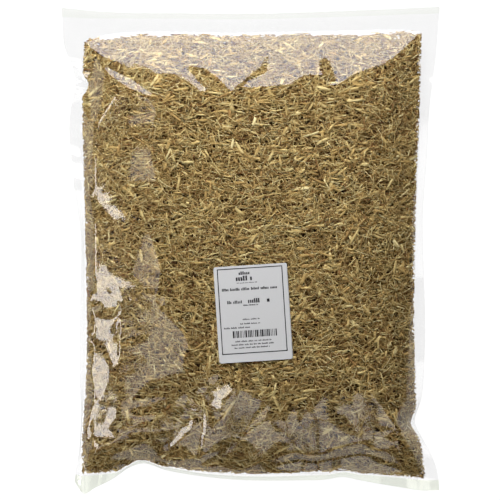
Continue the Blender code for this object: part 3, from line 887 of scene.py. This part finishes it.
def build_web(name, columns, rows, height, lift, outwards):
    """One web: the grid, turned over if it faces down, and a wall put on its outer side."""
    u, v = np.meshgrid(uneven_lines(columns), uneven_lines(rows))
    places = web_places(u, v, height, lift)
    faces = grid_faces(*places.shape[:2])
    if not outwards:
        faces = faces[:, ::-1]
    mesh = mesh_of(name, places.reshape(-1, 3), faces)
    point_values(mesh, "weld_and_shade", weld_and_shade_marks(*u.shape))
    mesh.shade_smooth()
    web = piece(name, mesh, film_material)
    thicken(web, "Wall", FILM)
    print(name, 4 * len(faces), "triangles")
    return web


front_web = build_web("front_film", FRONT_COLUMNS, FRONT_ROWS, pressed_front, WEB_GAP / 2, True)
back_web = build_web("back_film", BACK_COLUMNS, BACK_ROWS, rear_height, BACK_LIFT, False)
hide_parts("film_front")
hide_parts("film_back")

# %% [markdown]
# ## The root
#
# Chopped root breaks along its grain, so nearly every piece is a splinter: long, thin, squared off by the
# split and ragged at its ends. Some are flat flakes, and some are curved fibres as thin as thread. Each one
# here is a small bar: a few cross sections of three or four corners along a bent line, with its end corners
# pushed in or out at random. Thousands are worked out at once, as arrays with one row for each splinter.
#
# A splinter lies between two places just under the film, so it follows the pouch over its shoulders, and its
# depth is drawn at random. The shallow ones lie flat against the film, and the deep ones are tilted and
# drawn in darker tones, which is painted shade on top of the little light that reaches them. What they leave
# open shows a dark brown core, whose colour is painted shade too.

# %% Dried root material
# From bark to the palest wood. Most splinters draw their tone from the middle.
ROOT_TONES = (
    (0.00, "#4A3425"), (0.10, "#6B4F37"), (0.22, "#906943"), (0.34, "#9F7F50"), (0.55, "#C2A56A"),
    (0.78, "#DBC78D"), (0.92, "#E6D7A5"), (1.00, "#EDDFB6"),
)
# The streaks of the grain: the range of tones that they add, and the strength and depth of their dents.
STREAK_TONES = 0.36
STREAK_STRENGTH, STREAK_DEPTH = 0.5, 0.15 * MM


def dried_root():
    """Wood with open grain: the tone of each splinter, made darker and lighter by streaks along it."""
    root, output = empty_material("dried_split_root")
    tone = add_node(root, "ShaderNodeAttribute", {"attribute_name": "tone"})
    grain_map = add_node(root, "ShaderNodeUVMap", {"uv_map": "grain"})
    streaks = add_node(root, "ShaderNodeTexNoise", {"noise_dimensions": "2D"},
                       {"Scale": 1.0, "Detail": 3.0, "Roughness": 0.6}, {"Vector": grain_map.outputs[0]})
    shifted = add_node(root, "ShaderNodeMath", {"operation": "MULTIPLY_ADD"},
                       {1: STREAK_TONES, 2: -STREAK_TONES / 2}, {0: streaks.outputs[0]})
    summed = add_node(root, "ShaderNodeMath", {"operation": "ADD", "use_clamp": True}, {},
                      {0: tone.outputs["Fac"], 1: shifted.outputs[0]})
    colour = add_node(root, "ShaderNodeValToRGB", links={0: summed.outputs[0]})
    ramp_colours(colour, ROOT_TONES)
    bump = add_node(root, "ShaderNodeBump", {}, {"Strength": STREAK_STRENGTH, "Distance": STREAK_DEPTH},
                    {"Height": streaks.outputs[0]})
    wood = add_node(root, "ShaderNodeBsdfPrincipled", {}, {"Roughness": 1.0, "Specular IOR Level": 0.0},
                    {"Base Color": colour.outputs[0], "Normal": bump.outputs["Normal"]})
    join(root, wood.outputs[0], output.inputs["Surface"])
    return root


root_material = dried_root()
print("root:", root_material.name)

# %% Places under the film
# How close to a seam and to the film the root comes.
SEAM_ROOM, FILM_ROOM = 0.5 * MM, 0.12 * MM
# The deepest a point lies, as a share of the way to the middle of the fill.
DEEPEST = 0.86
# The step in u and v that slopes are measured with. Places are drawn this far inside the pocket.
SMALL_STEP = 0.004
# Film this much longer than its plan, or more, gets this many times the splinters of level film.
MOST_STRETCH = 2
# How many places are drawn for each one that is wanted, so that enough are left.
SPARE_DRAWS = 3


def under_film(u, v, depth, front):
    """A point at a depth under the film, but never deeper than most of the way to the middle of the fill."""
    high, low = front_height(u, v), rear_height(u, v)
    down = np.minimum(depth, DEEPEST * (high - low) / 2)
    return np.stack([*pocket_plan(u, v), high - down if front else low + down], axis=-1)


def film_normal(u, v, front):
    """Square to the film and outwards: the cross product of a small step across it and a small step up it."""
    across = under_film(u + SMALL_STEP, v, 0, front) - under_film(u - SMALL_STEP, v, 0, front)
    up = under_film(u, v + SMALL_STEP, 0, front) - under_film(u, v - SMALL_STEP, 0, front)
    normal = np.cross(across, up) if front else np.cross(up, across)
    return normal / np.linalg.norm(normal, axis=1, keepdims=True)


def kept_inside(points):
    """Moves what lies past a seam back to it, and presses what sticks out of the pouch under the film."""
    u, v = plan_to_uv(points[:, 0], points[:, 1])
    from_side, from_end = SEAM_ROOM / POCKET_WIDTH, SEAM_ROOM / POCKET_HEIGHT
    out = (np.abs(u - 0.5) > 0.5 - from_side) | (np.abs(v - 0.5) > 0.5 - from_end)
    u[out], v[out] = np.clip(u[out], from_side, 1 - from_side), np.clip(v[out], from_end, 1 - from_end)
    points[out, 0], points[out, 1] = pocket_plan(u[out], v[out])
    points[:, 2] = np.minimum(points[:, 2], front_height(u, v) - FILM_ROOM)
    points[:, 2] = np.maximum(points[:, 2], rear_height(u, v) + FILM_ROOM)
    return points


def spread(count, front, draw):
    """Places spread evenly over the film itself: steep parts keep more of the places drawn over the plan."""
    u, v = draw.uniform(SMALL_STEP, 1 - SMALL_STEP, (2, SPARE_DRAWS * count))
    outwards = film_normal(u, v, front)[:, 2] * (1 if front else -1)
    stretch = 1 / np.maximum(outwards, 1 / MOST_STRETCH)
    kept = draw.uniform(0, MOST_STRETCH, len(u)) < stretch
    return u[kept][:count], v[kept][:count]


print("2 mm under the middle:", np.round(under_film(0.5, 0.5, 2 * MM, True) / MM, 1).tolist(), "mm")

# %% Bars
# Half widths and half thicknesses at the corners of a cross section: split to a wedge, or sawn square.
SECTIONS = {3: ((1, -1, 0), (1, 1, -1)), 4: ((1, -1, -1, 1), (1, 1, -1, -1))}
# The most that a bar's ends narrow, and how uneven its sections are.
NARROWEST, UNEVEN = 0.4, (0.75, 1.15)
# How far the end corners are pushed, in (below zero) or out, as shares of the raggedness.
PUSHES = (-1, 0.4)
# How much a bowed bar sinks, as a share of its bow.
BOW_SINK = 0.3


def bars(axes, middle, length, width, thickness, stations, section, draw, bend, ragged):
    """Small bars as one array (splinters, stations, corners, 3). Their axes run along, across and up.

    A corner is the middle, plus its station along the bar, plus the half width and half thickness with the
    corner's signs. Width shrinks towards the ends, the whole bar bows sideways with one minus the square of
    the station, and the end corners are pushed along it at random.
    """
    count = len(length)
    station = np.linspace(-1, 1, stations)[None, :, None]
    sign_side, sign_up = np.array(SECTIONS[section])
    shape = (count, stations, section)
    narrowing = 1 - draw.uniform(0, NARROWEST, (count, 1, 1)) * np.abs(station) ** 3
    uneven = draw.uniform(*UNEVEN, shape)
    end_sign = np.where(np.abs(station) == 1, station, 0)
    push = end_sign * draw.uniform(*PUSHES, shape) * ragged * length[:, None, None]
    at = station * length[:, None, None] / 2 + push
    bow = bend[:, None, None] * length[:, None, None] * (1 - station**2)
    across = sign_side * width[:, None, None] / 2 * narrowing * uneven + bow
    above = sign_up * thickness[:, None, None] / 2 * narrowing * uneven - BOW_SINK * np.abs(bow)
    parts = [part[..., None] * axis[:, None, None, :] for part, axis in zip((at, across, above), axes)]
    return middle[:, None, None, :] + (parts[0] + parts[1] + parts[2])


def bar_faces(count, stations, section):
    """The sides between each two stations, and a cap at each end, all facing outwards."""
    ring = np.arange(section)
    after = (ring + 1) % section
    start = (np.arange(stations - 1) * section)[:, None]
    sides = np.stack([start + ring, start + after, start + section + after, start + section + ring], axis=-1)
    caps = np.stack([ring[::-1], ring + section * (stations - 1)])
    first = (np.arange(count) * section * stations)[:, None, None]
    return (first + sides.reshape(-1, 4)).reshape(-1, 4), (first + caps).reshape(-1, section)


print("the simplest bar has", sum(len(faces) for faces in bar_faces(1, 2, 3)), "faces")

# %% Grain on the bars
# The width of a streak of grain, and how many times as long it is. Real streaks are finer, and are drawn this
# coarse so that they show.
GRAIN_WIDTH, GRAIN_STRETCH = 0.55 * MM, 9.0
# How wide each side of a splinter counts as, round it.
SECTION_SIDE = 1.0 * MM
# Each splinter's grain is shifted by up to this many grain widths, so no two look alike.
GRAIN_SHIFT = 900


def add_grain(mesh, groups, stations, section, length, draw):
    """A UV map in grain widths: one way round the splinter, the other squeezed so that grain runs long."""
    count, corners = len(length), section * stations
    around = np.tile(np.arange(section) * SECTION_SIDE / GRAIN_WIDTH, count * stations)
    station = np.tile(np.repeat(np.linspace(-0.5, 0.5, stations), section), count)
    along = station * np.repeat(length, corners) / (GRAIN_WIDTH * GRAIN_STRETCH)
    offset = np.repeat(draw.uniform(0, GRAIN_SHIFT, (count, 2)), corners, axis=0)
    grain = np.stack([around, along], axis=1) + offset
    layer = mesh.uv_layers.new(name="grain")
    used = np.concatenate([faces.ravel() for faces in groups])
    layer.uv.foreach_set("vector", grain[used].astype(np.float32).ravel())


print("the grain's streaks are", round(GRAIN_WIDTH * GRAIN_STRETCH / MM, 1), "mm long")

# %% How splinters lie
# More of the pieces lie across the pouch than along it.
LEVEL_SHARE = 0.5
# Powers that make short and slim pieces the most common.
SHORT_POWER, SLIM_POWER = 1.4, 1.2
# How close to the seams a splinter's ends may come (mm), drawn for each one. Below zero they may pass them.
RIM_GAP = (-0.8, 2.6)
# How far the root stops short of the seams: at the top in ragged clumps, and at the bottom by places of u.
TOP_GAP, CLUMP_SIZE, CLUMP_SEED = 2.4 * MM, 7 * MM, 21
BOTTOM_GAP = ((0.30, 0.42, 0.72, 0.80), (0, 3.0 * MM, 3.0 * MM, 0))
# With a tilt of 1, ends dip by about this share of the length, counted up to this length.
LEAN_SHARE, LEAN_LENGTH = 0.35, 6 * MM


def drawn_sizes(count, sizes, draw):
    """Length, width and thickness, with short and slim pieces the most common."""
    (short, long), (slim, wide), (thin, thick) = sizes
    length = short * (long / short) ** (draw.uniform(0, 1, count) ** SHORT_POWER) * MM
    width = slim * (wide / slim) ** (draw.uniform(0, 1, count) ** SLIM_POWER) * MM
    thickness = np.minimum(draw.uniform(thin, thick, count) * MM, width)
    return length, width, thickness


def laid_ends(u, v, length, thickness, depth, tilt, front, draw):
    """Both ends of each splinter's middle line: a heading, cut off at the seams, and a depth that leans."""
    count = len(u)
    heading = draw.uniform(0, math.pi, count)
    heading = heading - LEVEL_SHARE / 2 * np.sin(2 * heading)
    reach_u = np.cos(heading) * length / 2 / POCKET_WIDTH
    reach_v = np.sin(heading) * length / 2 / POCKET_HEIGHT
    rim = draw.uniform(*RIM_GAP, count) * MM
    rim_u, rim_v = rim / POCKET_WIDTH, rim / POCKET_HEIGHT
    top_gap = TOP_GAP * (1 + value_noise(u * POCKET_WIDTH, 0 * u, CLUMP_SIZE, CLUMP_SEED))
    low_v = rim_v + np.interp(u, *BOTTOM_GAP) / POCKET_HEIGHT
    high_v = 1 - rim_v - top_gap / POCKET_HEIGHT
    slant = 1 / np.abs(film_normal(u, v, front)[:, 2])
    level = draw.uniform(*depth, count) * MM
    lean = draw.normal(0, tilt, count) * LEAN_SHARE * np.minimum(length, LEAN_LENGTH)
    ends = []
    for sign in (-1, 1):
        end_u = np.clip(u + sign * reach_u, rim_u, 1 - rim_u)
        end_v = np.clip(v + sign * reach_v, low_v, high_v)
        sunk = np.maximum(level + sign * lean, depth[0] * MM) + thickness / 2
        ends.append(under_film(end_u, end_v, sunk * slant, front))
    return ends


def bar_axes(run, normal, roll, draw):
    """Along each splinter, across it and up, the last two turned round it by a random roll."""
    along = run / np.linalg.norm(run, axis=1)[:, None]
    side = np.cross(normal, along)
    side = side / np.linalg.norm(side, axis=1, keepdims=True)
    up = np.cross(along, side)
    turn = draw.uniform(-roll, roll, len(run))[:, None]
    return along, side * np.cos(turn) + up * np.sin(turn), up * np.cos(turn) - side * np.sin(turn)


tried = drawn_sizes(1001, ((5, 14), (1, 2), (1, 1)), np.random.default_rng(0))[0]
print("of lengths between 5 and 14 mm, half are under", round(np.median(tried) / MM, 1), "mm")

# %% Splinters
TONE_LIMITS = (0.04, 0.88)


def splinters(name, count, sizes, depth, tones, front, seed, stations=2, section=3, roll=math.pi, tilt=0.5,
              bend=0.03, ragged=0.12):
    """Scatters splinters under the film and joins them in one mesh.

    sizes gives the least and most length, width and thickness in millimetres, depth the least and most depth
    of an end, and tones the middle and the spread of their tone.
    """
    draw = np.random.default_rng(seed)
    u, v = spread(count, front, draw)
    count = len(u)
    length, width, thickness = drawn_sizes(count, sizes, draw)
    start, end = laid_ends(u, v, length, thickness, depth, tilt, front, draw)
    run = end - start
    axes = bar_axes(run, film_normal(u, v, front), roll, draw)
    true_length = np.minimum(np.linalg.norm(run, axis=1), length)
    points = bars(axes, (start + end) / 2, true_length, width, thickness, stations, section, draw,
                  draw.normal(0, bend, count), ragged)
    sides, caps = bar_faces(count, stations, section)
    mesh = mesh_of(name, kept_inside(points.reshape(-1, 3)), sides, caps)
    tone = np.clip(draw.normal(*tones, count), *TONE_LIMITS)
    point_values(mesh, "tone", np.repeat(tone, section * stations))
    add_grain(mesh, (sides, caps), stations, section, length, draw)
    made = piece(name, mesh, root_material)
    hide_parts("root_fill")
    print(name, count, "splinters,", 2 * len(sides) + (section - 2) * len(caps), "triangles")


# The deeper a layer lies, the darker its middle tone: painted shade, on top of the shade that the render
# gives.
splinters("root_splinters_deep", 8500, ((5, 14), (1.0, 2.2), (0.6, 1.4)), (2.4, 4.8), (0.40, 0.16),
          front=True, seed=1, tilt=0.8)
splinters("root_splinters_middle", 23500, ((4, 12), (0.5, 1.6), (0.4, 1.0)), (0.9, 3.0), (0.47, 0.19),
          front=True, seed=2, tilt=0.6)
splinters("root_splinters_top", 13500, ((4, 15), (0.5, 1.7), (0.4, 0.8)), (0.2, 1.6), (0.54, 0.19),
          front=True, seed=3, stations=3, tilt=0.35, bend=0.04)
splinters("root_flakes", 850, ((6, 15), (1.6, 3.0), (0.5, 0.9)), (0.2, 1.2), (0.62, 0.13),
          front=True, seed=4, stations=3, section=4, roll=0.3, tilt=0.2, bend=0.01, ragged=0.18)
splinters("root_fibres", 6700, ((7, 20), (0.40, 0.70), (0.3, 0.5)), (0.1, 1.1), (0.64, 0.14),
          front=True, seed=5, stations=4, tilt=0.25, bend=0.11, ragged=0.03)
splinters("root_crumbs", 8000, ((1.5, 4), (0.4, 1.2), (0.4, 0.9)), (0.2, 1.6), (0.54, 0.20),
          front=True, seed=6, tilt=0.6)
splinters("root_splinters_back", 7500, ((5, 15), (1.0, 2.8), (0.6, 1.5)), (0.4, 4.0), (0.50, 0.18),
          front=False, seed=7, tilt=0.5)

# %% Core of packed root
CORE_CELLS = (70, 88)
CORE_U, CORE_V = (0.012, 0.988), (0.01, 0.978)
# How deep the core lies, but at least this share of the way from the middle to the film.
CORE_DEPTH, LEAST_SKIN = 5.6 * MM, 0.3
CORE_RAMP = 12 * MM
# Points closer than this are one.
MERGE_DISTANCE = 1e-6
# The core's dark browns are painted shade: they stand for the shadowed depths between the splinters.
CORE_SHADE_TONES = ((0.35, "#3B2819"), (0.7, "#6F5538"))
CORE_GRAIN = 2.5 * MM
CORE_STRENGTH, CORE_DENTS = 0.8, 1.5 * MM


def packed_core():
    """Where the splinters end: a grid under the front and one over the back, drawn together to one rim."""
    u, v = np.meshgrid(np.linspace(*CORE_U, CORE_CELLS[0] + 1), np.linspace(*CORE_V, CORE_CELLS[1] + 1))
    high, low = front_height(u, v), back_height(u, v)
    x, y = pocket_plan(u, v)
    from_rim = np.minimum(np.minimum(u - CORE_U[0], CORE_U[1] - u) * POCKET_WIDTH,
                          np.minimum(v - CORE_V[0], CORE_V[1] - v) * POCKET_HEIGHT)
    room = (high - low) / 2
    skin = np.maximum(room - CORE_DEPTH, LEAST_SKIN * room) * np.clip(from_rim / CORE_RAMP, 0, 1)
    sides = [np.stack([x, y, (high + low) / 2 + sign * skin], axis=-1).reshape(-1, 3) for sign in (1, -1)]
    faces = grid_faces(*u.shape)
    mesh = mesh_of("root_core", np.concatenate(sides), np.concatenate([faces, faces[:, ::-1] + u.size]))
    edit = bmesh.new()
    edit.from_mesh(mesh)
    bmesh.ops.remove_doubles(edit, verts=edit.verts[:], dist=MERGE_DISTANCE)
    edit.to_mesh(mesh)
    edit.free()
    return mesh


def packed_root():
    """Painted shade between the splinters: dark brown noise about as coarse as a splinter is wide."""
    packed, output = empty_material("packed_root_in_shade")
    place = add_node(packed, "ShaderNodeTexCoord")
    patches = add_node(packed, "ShaderNodeTexNoise", {}, {"Scale": 1 / CORE_GRAIN, "Detail": 3.0},
                       {"Vector": place.outputs["Object"]})
    colour = add_node(packed, "ShaderNodeValToRGB", links={0: patches.outputs[0]})
    ramp_colours(colour, CORE_SHADE_TONES)
    bump = add_node(packed, "ShaderNodeBump", {}, {"Strength": CORE_STRENGTH, "Distance": CORE_DENTS},
                    {"Height": patches.outputs[0]})
    wood = add_node(packed, "ShaderNodeBsdfPrincipled", {}, {"Roughness": 0.9},
                    {"Base Color": colour.outputs[0], "Normal": bump.outputs["Normal"]})
    join(packed, wood.outputs[0], output.inputs["Surface"])
    return packed


core = piece("root_core", packed_core(), packed_root())
core.data.shade_smooth()
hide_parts("root_fill")
print("root_core", len(core.data.polygons), "faces")

# %% [markdown]
# ## The label
#
# The label is thermal paper: smooth, a little grey, printed by heat in black. It is stiffer than the film,
# so it bridges the small dents and only follows the slow curve of the pouch. The print is a plain frame,
# rows of short bars that look grey from afar, and a block of plain stripes.

# %% Thermal label
LABEL_LIFT = 0.35 * MM
LABEL_CORNER = 1.6 * MM
LABEL_CELLS, CORNER_STEPS, MIDDLE_STEPS = 40, 5, 44
PAPER = 0.12 * MM
PAPER_GREY, PAPER_ROUGHNESS = "#BFBFC0", 0.55
# The paper's fibres: their size, how light they are beside the coat, and the strength and depth of dents.
# Real fibres are far finer, and are drawn this coarse so that they show.
FIBRE_SIZE, FIBRE_SHADE = 0.8 * MM, 0.93
FIBRE_STRENGTH, FIBRE_DEPTH = 0.15, 0.05 * MM
# A slow ripple keeps the sheet from lying quite flat.
RIPPLE_HEIGHT, RIPPLE_SIZE, RIPPLE_SEED = 0.12 * MM, 24 * MM, 11


def on_label(across, up, lift):
    """Points of the label's underside, raised by lift, from places along its width and height."""
    x, y = label_plan(across, up)
    ripple = RIPPLE_HEIGHT * value_noise(x, y, RIPPLE_SIZE, RIPPLE_SEED)
    return np.stack([x, y, front_height(*plan_to_uv(x, y)) + LABEL_LIFT + ripple + lift], axis=-1)


def thermal_paper(name, colour, roughness):
    """Coated paper: nearly flat, with a faint unevenness of its fibres."""
    paper, output = empty_material(name)
    place = add_node(paper, "ShaderNodeTexCoord")
    fibres = add_node(paper, "ShaderNodeTexNoise", {}, {"Scale": 1 / FIBRE_SIZE, "Detail": 4.0},
                      {"Vector": place.outputs["Object"]})
    light, shaded = linear(colour), (*(FIBRE_SHADE * part for part in linear(colour)[:3]), 1.0)
    cloud = add_node(paper, "ShaderNodeMix", {"data_type": "RGBA"}, {6: light, 7: shaded},
                     {0: fibres.outputs[0]})
    bump = add_node(paper, "ShaderNodeBump", {}, {"Strength": FIBRE_STRENGTH, "Distance": FIBRE_DEPTH},
                    {"Height": fibres.outputs[0]})
    coat = add_node(paper, "ShaderNodeBsdfPrincipled", {},
                    {"Roughness": roughness, "Specular IOR Level": 0.25},
                    {"Base Color": cloud.outputs[2], "Normal": bump.outputs["Normal"]})
    join(paper, coat.outputs[0], output.inputs["Surface"])
    return paper


def label_sheet():
    """A grid whose rows grow shorter within the corner's radius of each end, along a quarter circle."""
    corner = LABEL_CORNER * (1 - np.cos(np.linspace(0, math.pi / 2, CORNER_STEPS + 1)))
    middle = np.linspace(LABEL_CORNER, LABEL_HEIGHT - LABEL_CORNER, MIDDLE_STEPS + 1)[1:-1]
    down = np.concatenate([corner, middle, LABEL_HEIGHT - corner[::-1]])
    to_end = np.minimum(np.minimum(down, LABEL_HEIGHT - down), LABEL_CORNER)
    cut = LABEL_CORNER - np.sqrt(LABEL_CORNER**2 - (LABEL_CORNER - to_end) ** 2)
    across = np.linspace(-1, 1, LABEL_CELLS + 1)[None, :] * (LABEL_WIDTH / 2 - cut)[:, None]
    up = np.broadcast_to((down - LABEL_HEIGHT / 2)[:, None], across.shape)
    return mesh_of("label_sheet", on_label(across, up, 0).reshape(-1, 3), grid_faces(*across.shape))


label_paper = thermal_paper("thermal_label_paper", PAPER_GREY, PAPER_ROUGHNESS)
label = piece("label_sheet", label_sheet(), label_paper)
label.data.shade_smooth()
thicken(label, "Paper", PAPER)
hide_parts("label")
print("label", len(label.data.polygons), "faces")

# %% Print on the label
FRAME_LINE = 0.75
# Left, right, bottom and top of the printed frame, in millimetres from the label's middle.
FRAME_BOX = (-26.6, 25.4, -31.6, 36.4)
# Each row of bars: left, right, bottom, height, and how far apart its bars stand.
BAR_ROWS = (
    (-9.5, 0.5, 31.0, 2.6, 1.5), (-12.0, 3.0, 26.2, 4.0, 1.9), (-11.5, 5.0, 24.2, 0.7, 0.6),
    (-23.6, 21.5, 18.6, 2.2, 1.1), (-20.0, -7.5, 8.4, 2.4, 1.2), (-3.5, 7.0, 8.2, 3.6, 1.6),
    (11.5, 15.0, 8.4, 3.4, 3.0), (-7.4, 4.6, 6.2, 1.1, 0.7), (-8.6, 5.4, -5.0, 1.1, 0.8),
    (-10.8, 5.4, -8.4, 1.1, 0.8), (-23.8, -2.4, -11.4, 1.3, 0.8), (-15.5, 14.0, -22.3, 1.2, 0.8),
    (-18.6, 15.6, -24.9, 1.2, 0.8), (-16.4, 12.4, -27.4, 1.2, 0.8),
)
# Bars in a group: from the first number up to, but without, the second. Stripes and gaps count so too.
GROUP = (3, 8)
# A block of stripes: left, right, bottom and height. Stripes and gaps are whole numbers of units wide.
STRIPES, STRIPE_UNIT = (-17.2, 17.8, -18.9, 5.6), 0.42
STRIPE_UNITS, GAP_UNITS = (1, 4), (1, 3)
# How much of its place a bar fills, and how much of its row's height: two of three are low.
BAR_SHARE, BAR_HEIGHTS = 0.72, (0.72, 0.72, 1.0)
INK = 0.02 * MM
INK_BLACK, INK_ROUGHNESS = "#1D1D1F", 0.6
# Into how many cells a bar of the frame and a mark are cut, each way.
FRAME_CELLS, MARK_CELLS = 24, 2
PRINT_SEED = 12


def bar_blocks(draw):
    """Boxes (left, right, bottom, top) in rows, in groups of three to seven with a place free between."""
    boxes = []
    for left, right, bottom, height, pitch in BAR_ROWS:
        x, bars_left = left, draw.integers(*GROUP)
        while x + pitch <= right:
            tall = height * draw.choice(BAR_HEIGHTS)
            boxes.append((x, x + BAR_SHARE * pitch, bottom, bottom + tall))
            x, bars_left = x + pitch, bars_left - 1
            if bars_left == 0:
                x, bars_left = x + pitch, draw.integers(*GROUP)
    return boxes


def stripe_blocks(draw):
    """Upright stripes of one to three units, with gaps of one or two units between."""
    left, right, bottom, height = STRIPES
    boxes, x = [], left
    while x < right:
        wide = STRIPE_UNIT * draw.integers(*STRIPE_UNITS)
        boxes.append((x, min(x + wide, right), bottom, bottom + height))
        x += wide + STRIPE_UNIT * draw.integers(*GAP_UNITS)
    return boxes


def frame_blocks():
    """Four bars round the frame's box."""
    left, right, bottom, top = FRAME_BOX
    return [
        (left, right, bottom, bottom + FRAME_LINE), (left, right, top - FRAME_LINE, top),
        (left, left + FRAME_LINE, bottom, top), (right - FRAME_LINE, right, bottom, top),
    ]


def printed(name, boxes, ink, cells):
    """Boxes as thin sheets of ink on the paper, each cut into cells so that it follows the paper's curve."""
    box = np.array(boxes) * MM
    steps = np.linspace(0, 1, cells + 1)
    across = mix(box[:, 0, None], box[:, 1, None], steps)[:, None, :]
    up = mix(box[:, 2, None], box[:, 3, None], steps)[:, :, None]
    across, up = np.broadcast_arrays(across, up)
    points = on_label(across, up, PAPER + INK).reshape(-1, 3)
    one = grid_faces(cells + 1, cells + 1)
    faces = (np.arange(len(box))[:, None, None] * (cells + 1) ** 2 + one).reshape(-1, 4)
    made = piece(name, mesh_of(name, points, faces), ink)
    thicken(made, "Ink", INK)
    print(name, len(box), "marks")


black = thermal_paper("thermal_print_black", INK_BLACK, INK_ROUGHNESS)
print_draw = np.random.default_rng(PRINT_SEED)
printed("label_print_frame", frame_blocks(), black, FRAME_CELLS)
printed("label_print_lines", bar_blocks(print_draw) + stripe_blocks(print_draw), black, MARK_CELLS)

# %% [markdown]
# ## Table and light
#
# The pouch lies on a white table that is lit from below as well, as such products are photographed, so the
# clear margins stay white. The panels of the folds stand round it, upright, each where the film mirrors it:
# bright ones behind and on the left, dimmer ones in front and higher up on the left. They only show in the
# film. The root is lit by four soft lights of its own. The strongest hangs behind the pouch, so the root
# gets darker towards the front.

# %% Table
TABLE_SIZE = 6.0
TABLE_GLOW = 0.99
TABLE_SCATTER = "#5A5A5A"
# How far under the frame's floor the table lies.
TABLE_DROP = 0.2 * MM


def lit_table():
    """Matt white acrylic that glows: what it scatters, plus the light from the lamps under it."""
    acrylic, output = empty_material("opal_acrylic_table")
    matt = add_node(acrylic, "ShaderNodeBsdfDiffuse", {}, {"Color": linear(TABLE_SCATTER)})
    glow = add_node(acrylic, "ShaderNodeEmission", {}, {"Strength": TABLE_GLOW})
    both = add_node(acrylic, "ShaderNodeAddShader", links={0: matt.outputs[0], 1: glow.outputs[0]})
    join(acrylic, both.outputs[0], output.inputs["Surface"])
    return acrylic


corners = np.array([(-1, -1, 0), (1, -1, 0), (-1, 1, 0), (1, 1, 0)]) * TABLE_SIZE / 2 - (0, 0, TABLE_DROP)
table = bpy.data.objects.new("table", mesh_of("table", corners, grid_faces(2, 2)))
table.data.materials.append(lit_table())
bpy.context.scene.collection.objects.link(table)
print("table", TABLE_SIZE, "m wide")

# %% Panels
# Where on the film each panel shows (mm), how far from there it stands (m), its brightness and its tint.
COOL, WARM = "#E9EEFF", "#FFFBF8"
PANELS = {
    "panel_behind": ((0, 140), 1.5, 5.1, COOL),
    "panel_left": ((-125, -20), 1.5, 7.4, WARM),
    "panel_left_high": ((-95, -70), 1.5, 1.8, WARM),
    "panel_in_front": ((-50, -135), 1.2, 1.9, WARM),
    "panel_in_front_right": ((60, -140), 1.2, 1.9, WARM),
}
# The left panel ends sooner than its window, so the crease along the upper left of the film stays clear.
NARROWER_FACINGS = {"panel_left": (176, 222)}
FILM_LEVEL = 30 * MM
# Each panel shows in slopes that are up to this many degrees outside its window.
PANEL_OVERLAP = 0.7


def soft_light(name, place, away, size, brightness, tint, in_film):
    """A rectangular light turned away from a direction. Its power is its brightness times pi and its area."""
    light = bpy.data.lights.new(name, "AREA")
    light.shape = "RECTANGLE"
    light.size, light.size_y = size
    light.energy = brightness * math.pi * size[0] * size[1]
    light.color = linear(tint)[:3]
    lamp = bpy.data.objects.new(name, light)
    lamp.location = place
    lamp.visible_glossy = in_film
    lamp.visible_diffuse = not in_film
    lamp.rotation_mode = "QUATERNION"
    lamp.rotation_quaternion = Vector(away).to_track_quat("Z", "Y")
    bpy.context.scene.collection.objects.link(lamp)


def panel(name):
    """An upright panel that fills its window, as the camera sees it mirrored in the film at one place.

    Film with slope t turns the camera's line of sight by 2t. That line leans a little, as the camera hangs
    over the middle, so the angle over the table that is mirrored is 90 - 2t, less the lean.
    """
    (seen_x, seen_y), distance, brightness, tint = PANELS[name]
    least, most = WINDOWS[name][2:]
    start, end = NARROWER_FACINGS.get(name, WINDOWS[name][:2])
    azimuth, half_turn = math.radians((start + end) / 2), math.radians((end - start) / 2)
    toward = np.array([math.cos(azimuth), math.sin(azimuth)])
    seen = np.array([seen_x, seen_y]) * MM
    lean = math.degrees(math.atan2((seen - PHOTO_CENTRE) @ toward, CAMERA_HEIGHT - FILM_LEVEL))
    steepest, gentlest = most + PANEL_OVERLAP, least - PANEL_OVERLAP
    heights = [math.tan(math.radians(90 - 2 * slope - lean)) for slope in (steepest, gentlest)]
    low, high = FILM_LEVEL + distance * np.array(heights)
    place = (*(seen + distance * toward), (low + high) / 2)
    size = (2 * distance * math.tan(half_turn), high - low)
    print(name, np.round(place, 2).tolist(), "size", np.round(size, 2).tolist(), "m")
    soft_light(name, place, (*toward, 0), size, brightness, tint, True)


for window in WINDOWS:
    panel(window)

# %% Lights on the root
# Place and size (m) and brightness of the lights that fall on the root and don't show in the film.
ROOT_LIGHTS = {
    "light_behind": ((-0.12, 0.60, 0.64), (0.4, 0.4), 22.8),
    "light_in_front": ((-0.05, -1.20, 0.24), (1.0, 0.3), 6.4),
    "light_right": ((1.05, 0.72, 0.36), (0.8, 0.35), 5.4),
    "light_left": ((-0.90, -0.60, 0.36), (0.8, 0.35), 3.8),
}
ROOM_LIGHT = 0.27
WHITE = "#FFFFFF"
for name, (place, size, brightness) in ROOT_LIGHTS.items():
    soft_light(name, place, place, size, brightness, WHITE, False)

world = bpy.data.worlds.new("studio")
bpy.context.scene.world = world
world.use_nodes = True
world.node_tree.nodes["Background"].inputs["Strength"].default_value = ROOM_LIGHT
world.cycles_visibility.glossy = False
bpy.context.scene.view_settings.view_transform = "Standard"
print(len(ROOT_LIGHTS), "lights on the root")
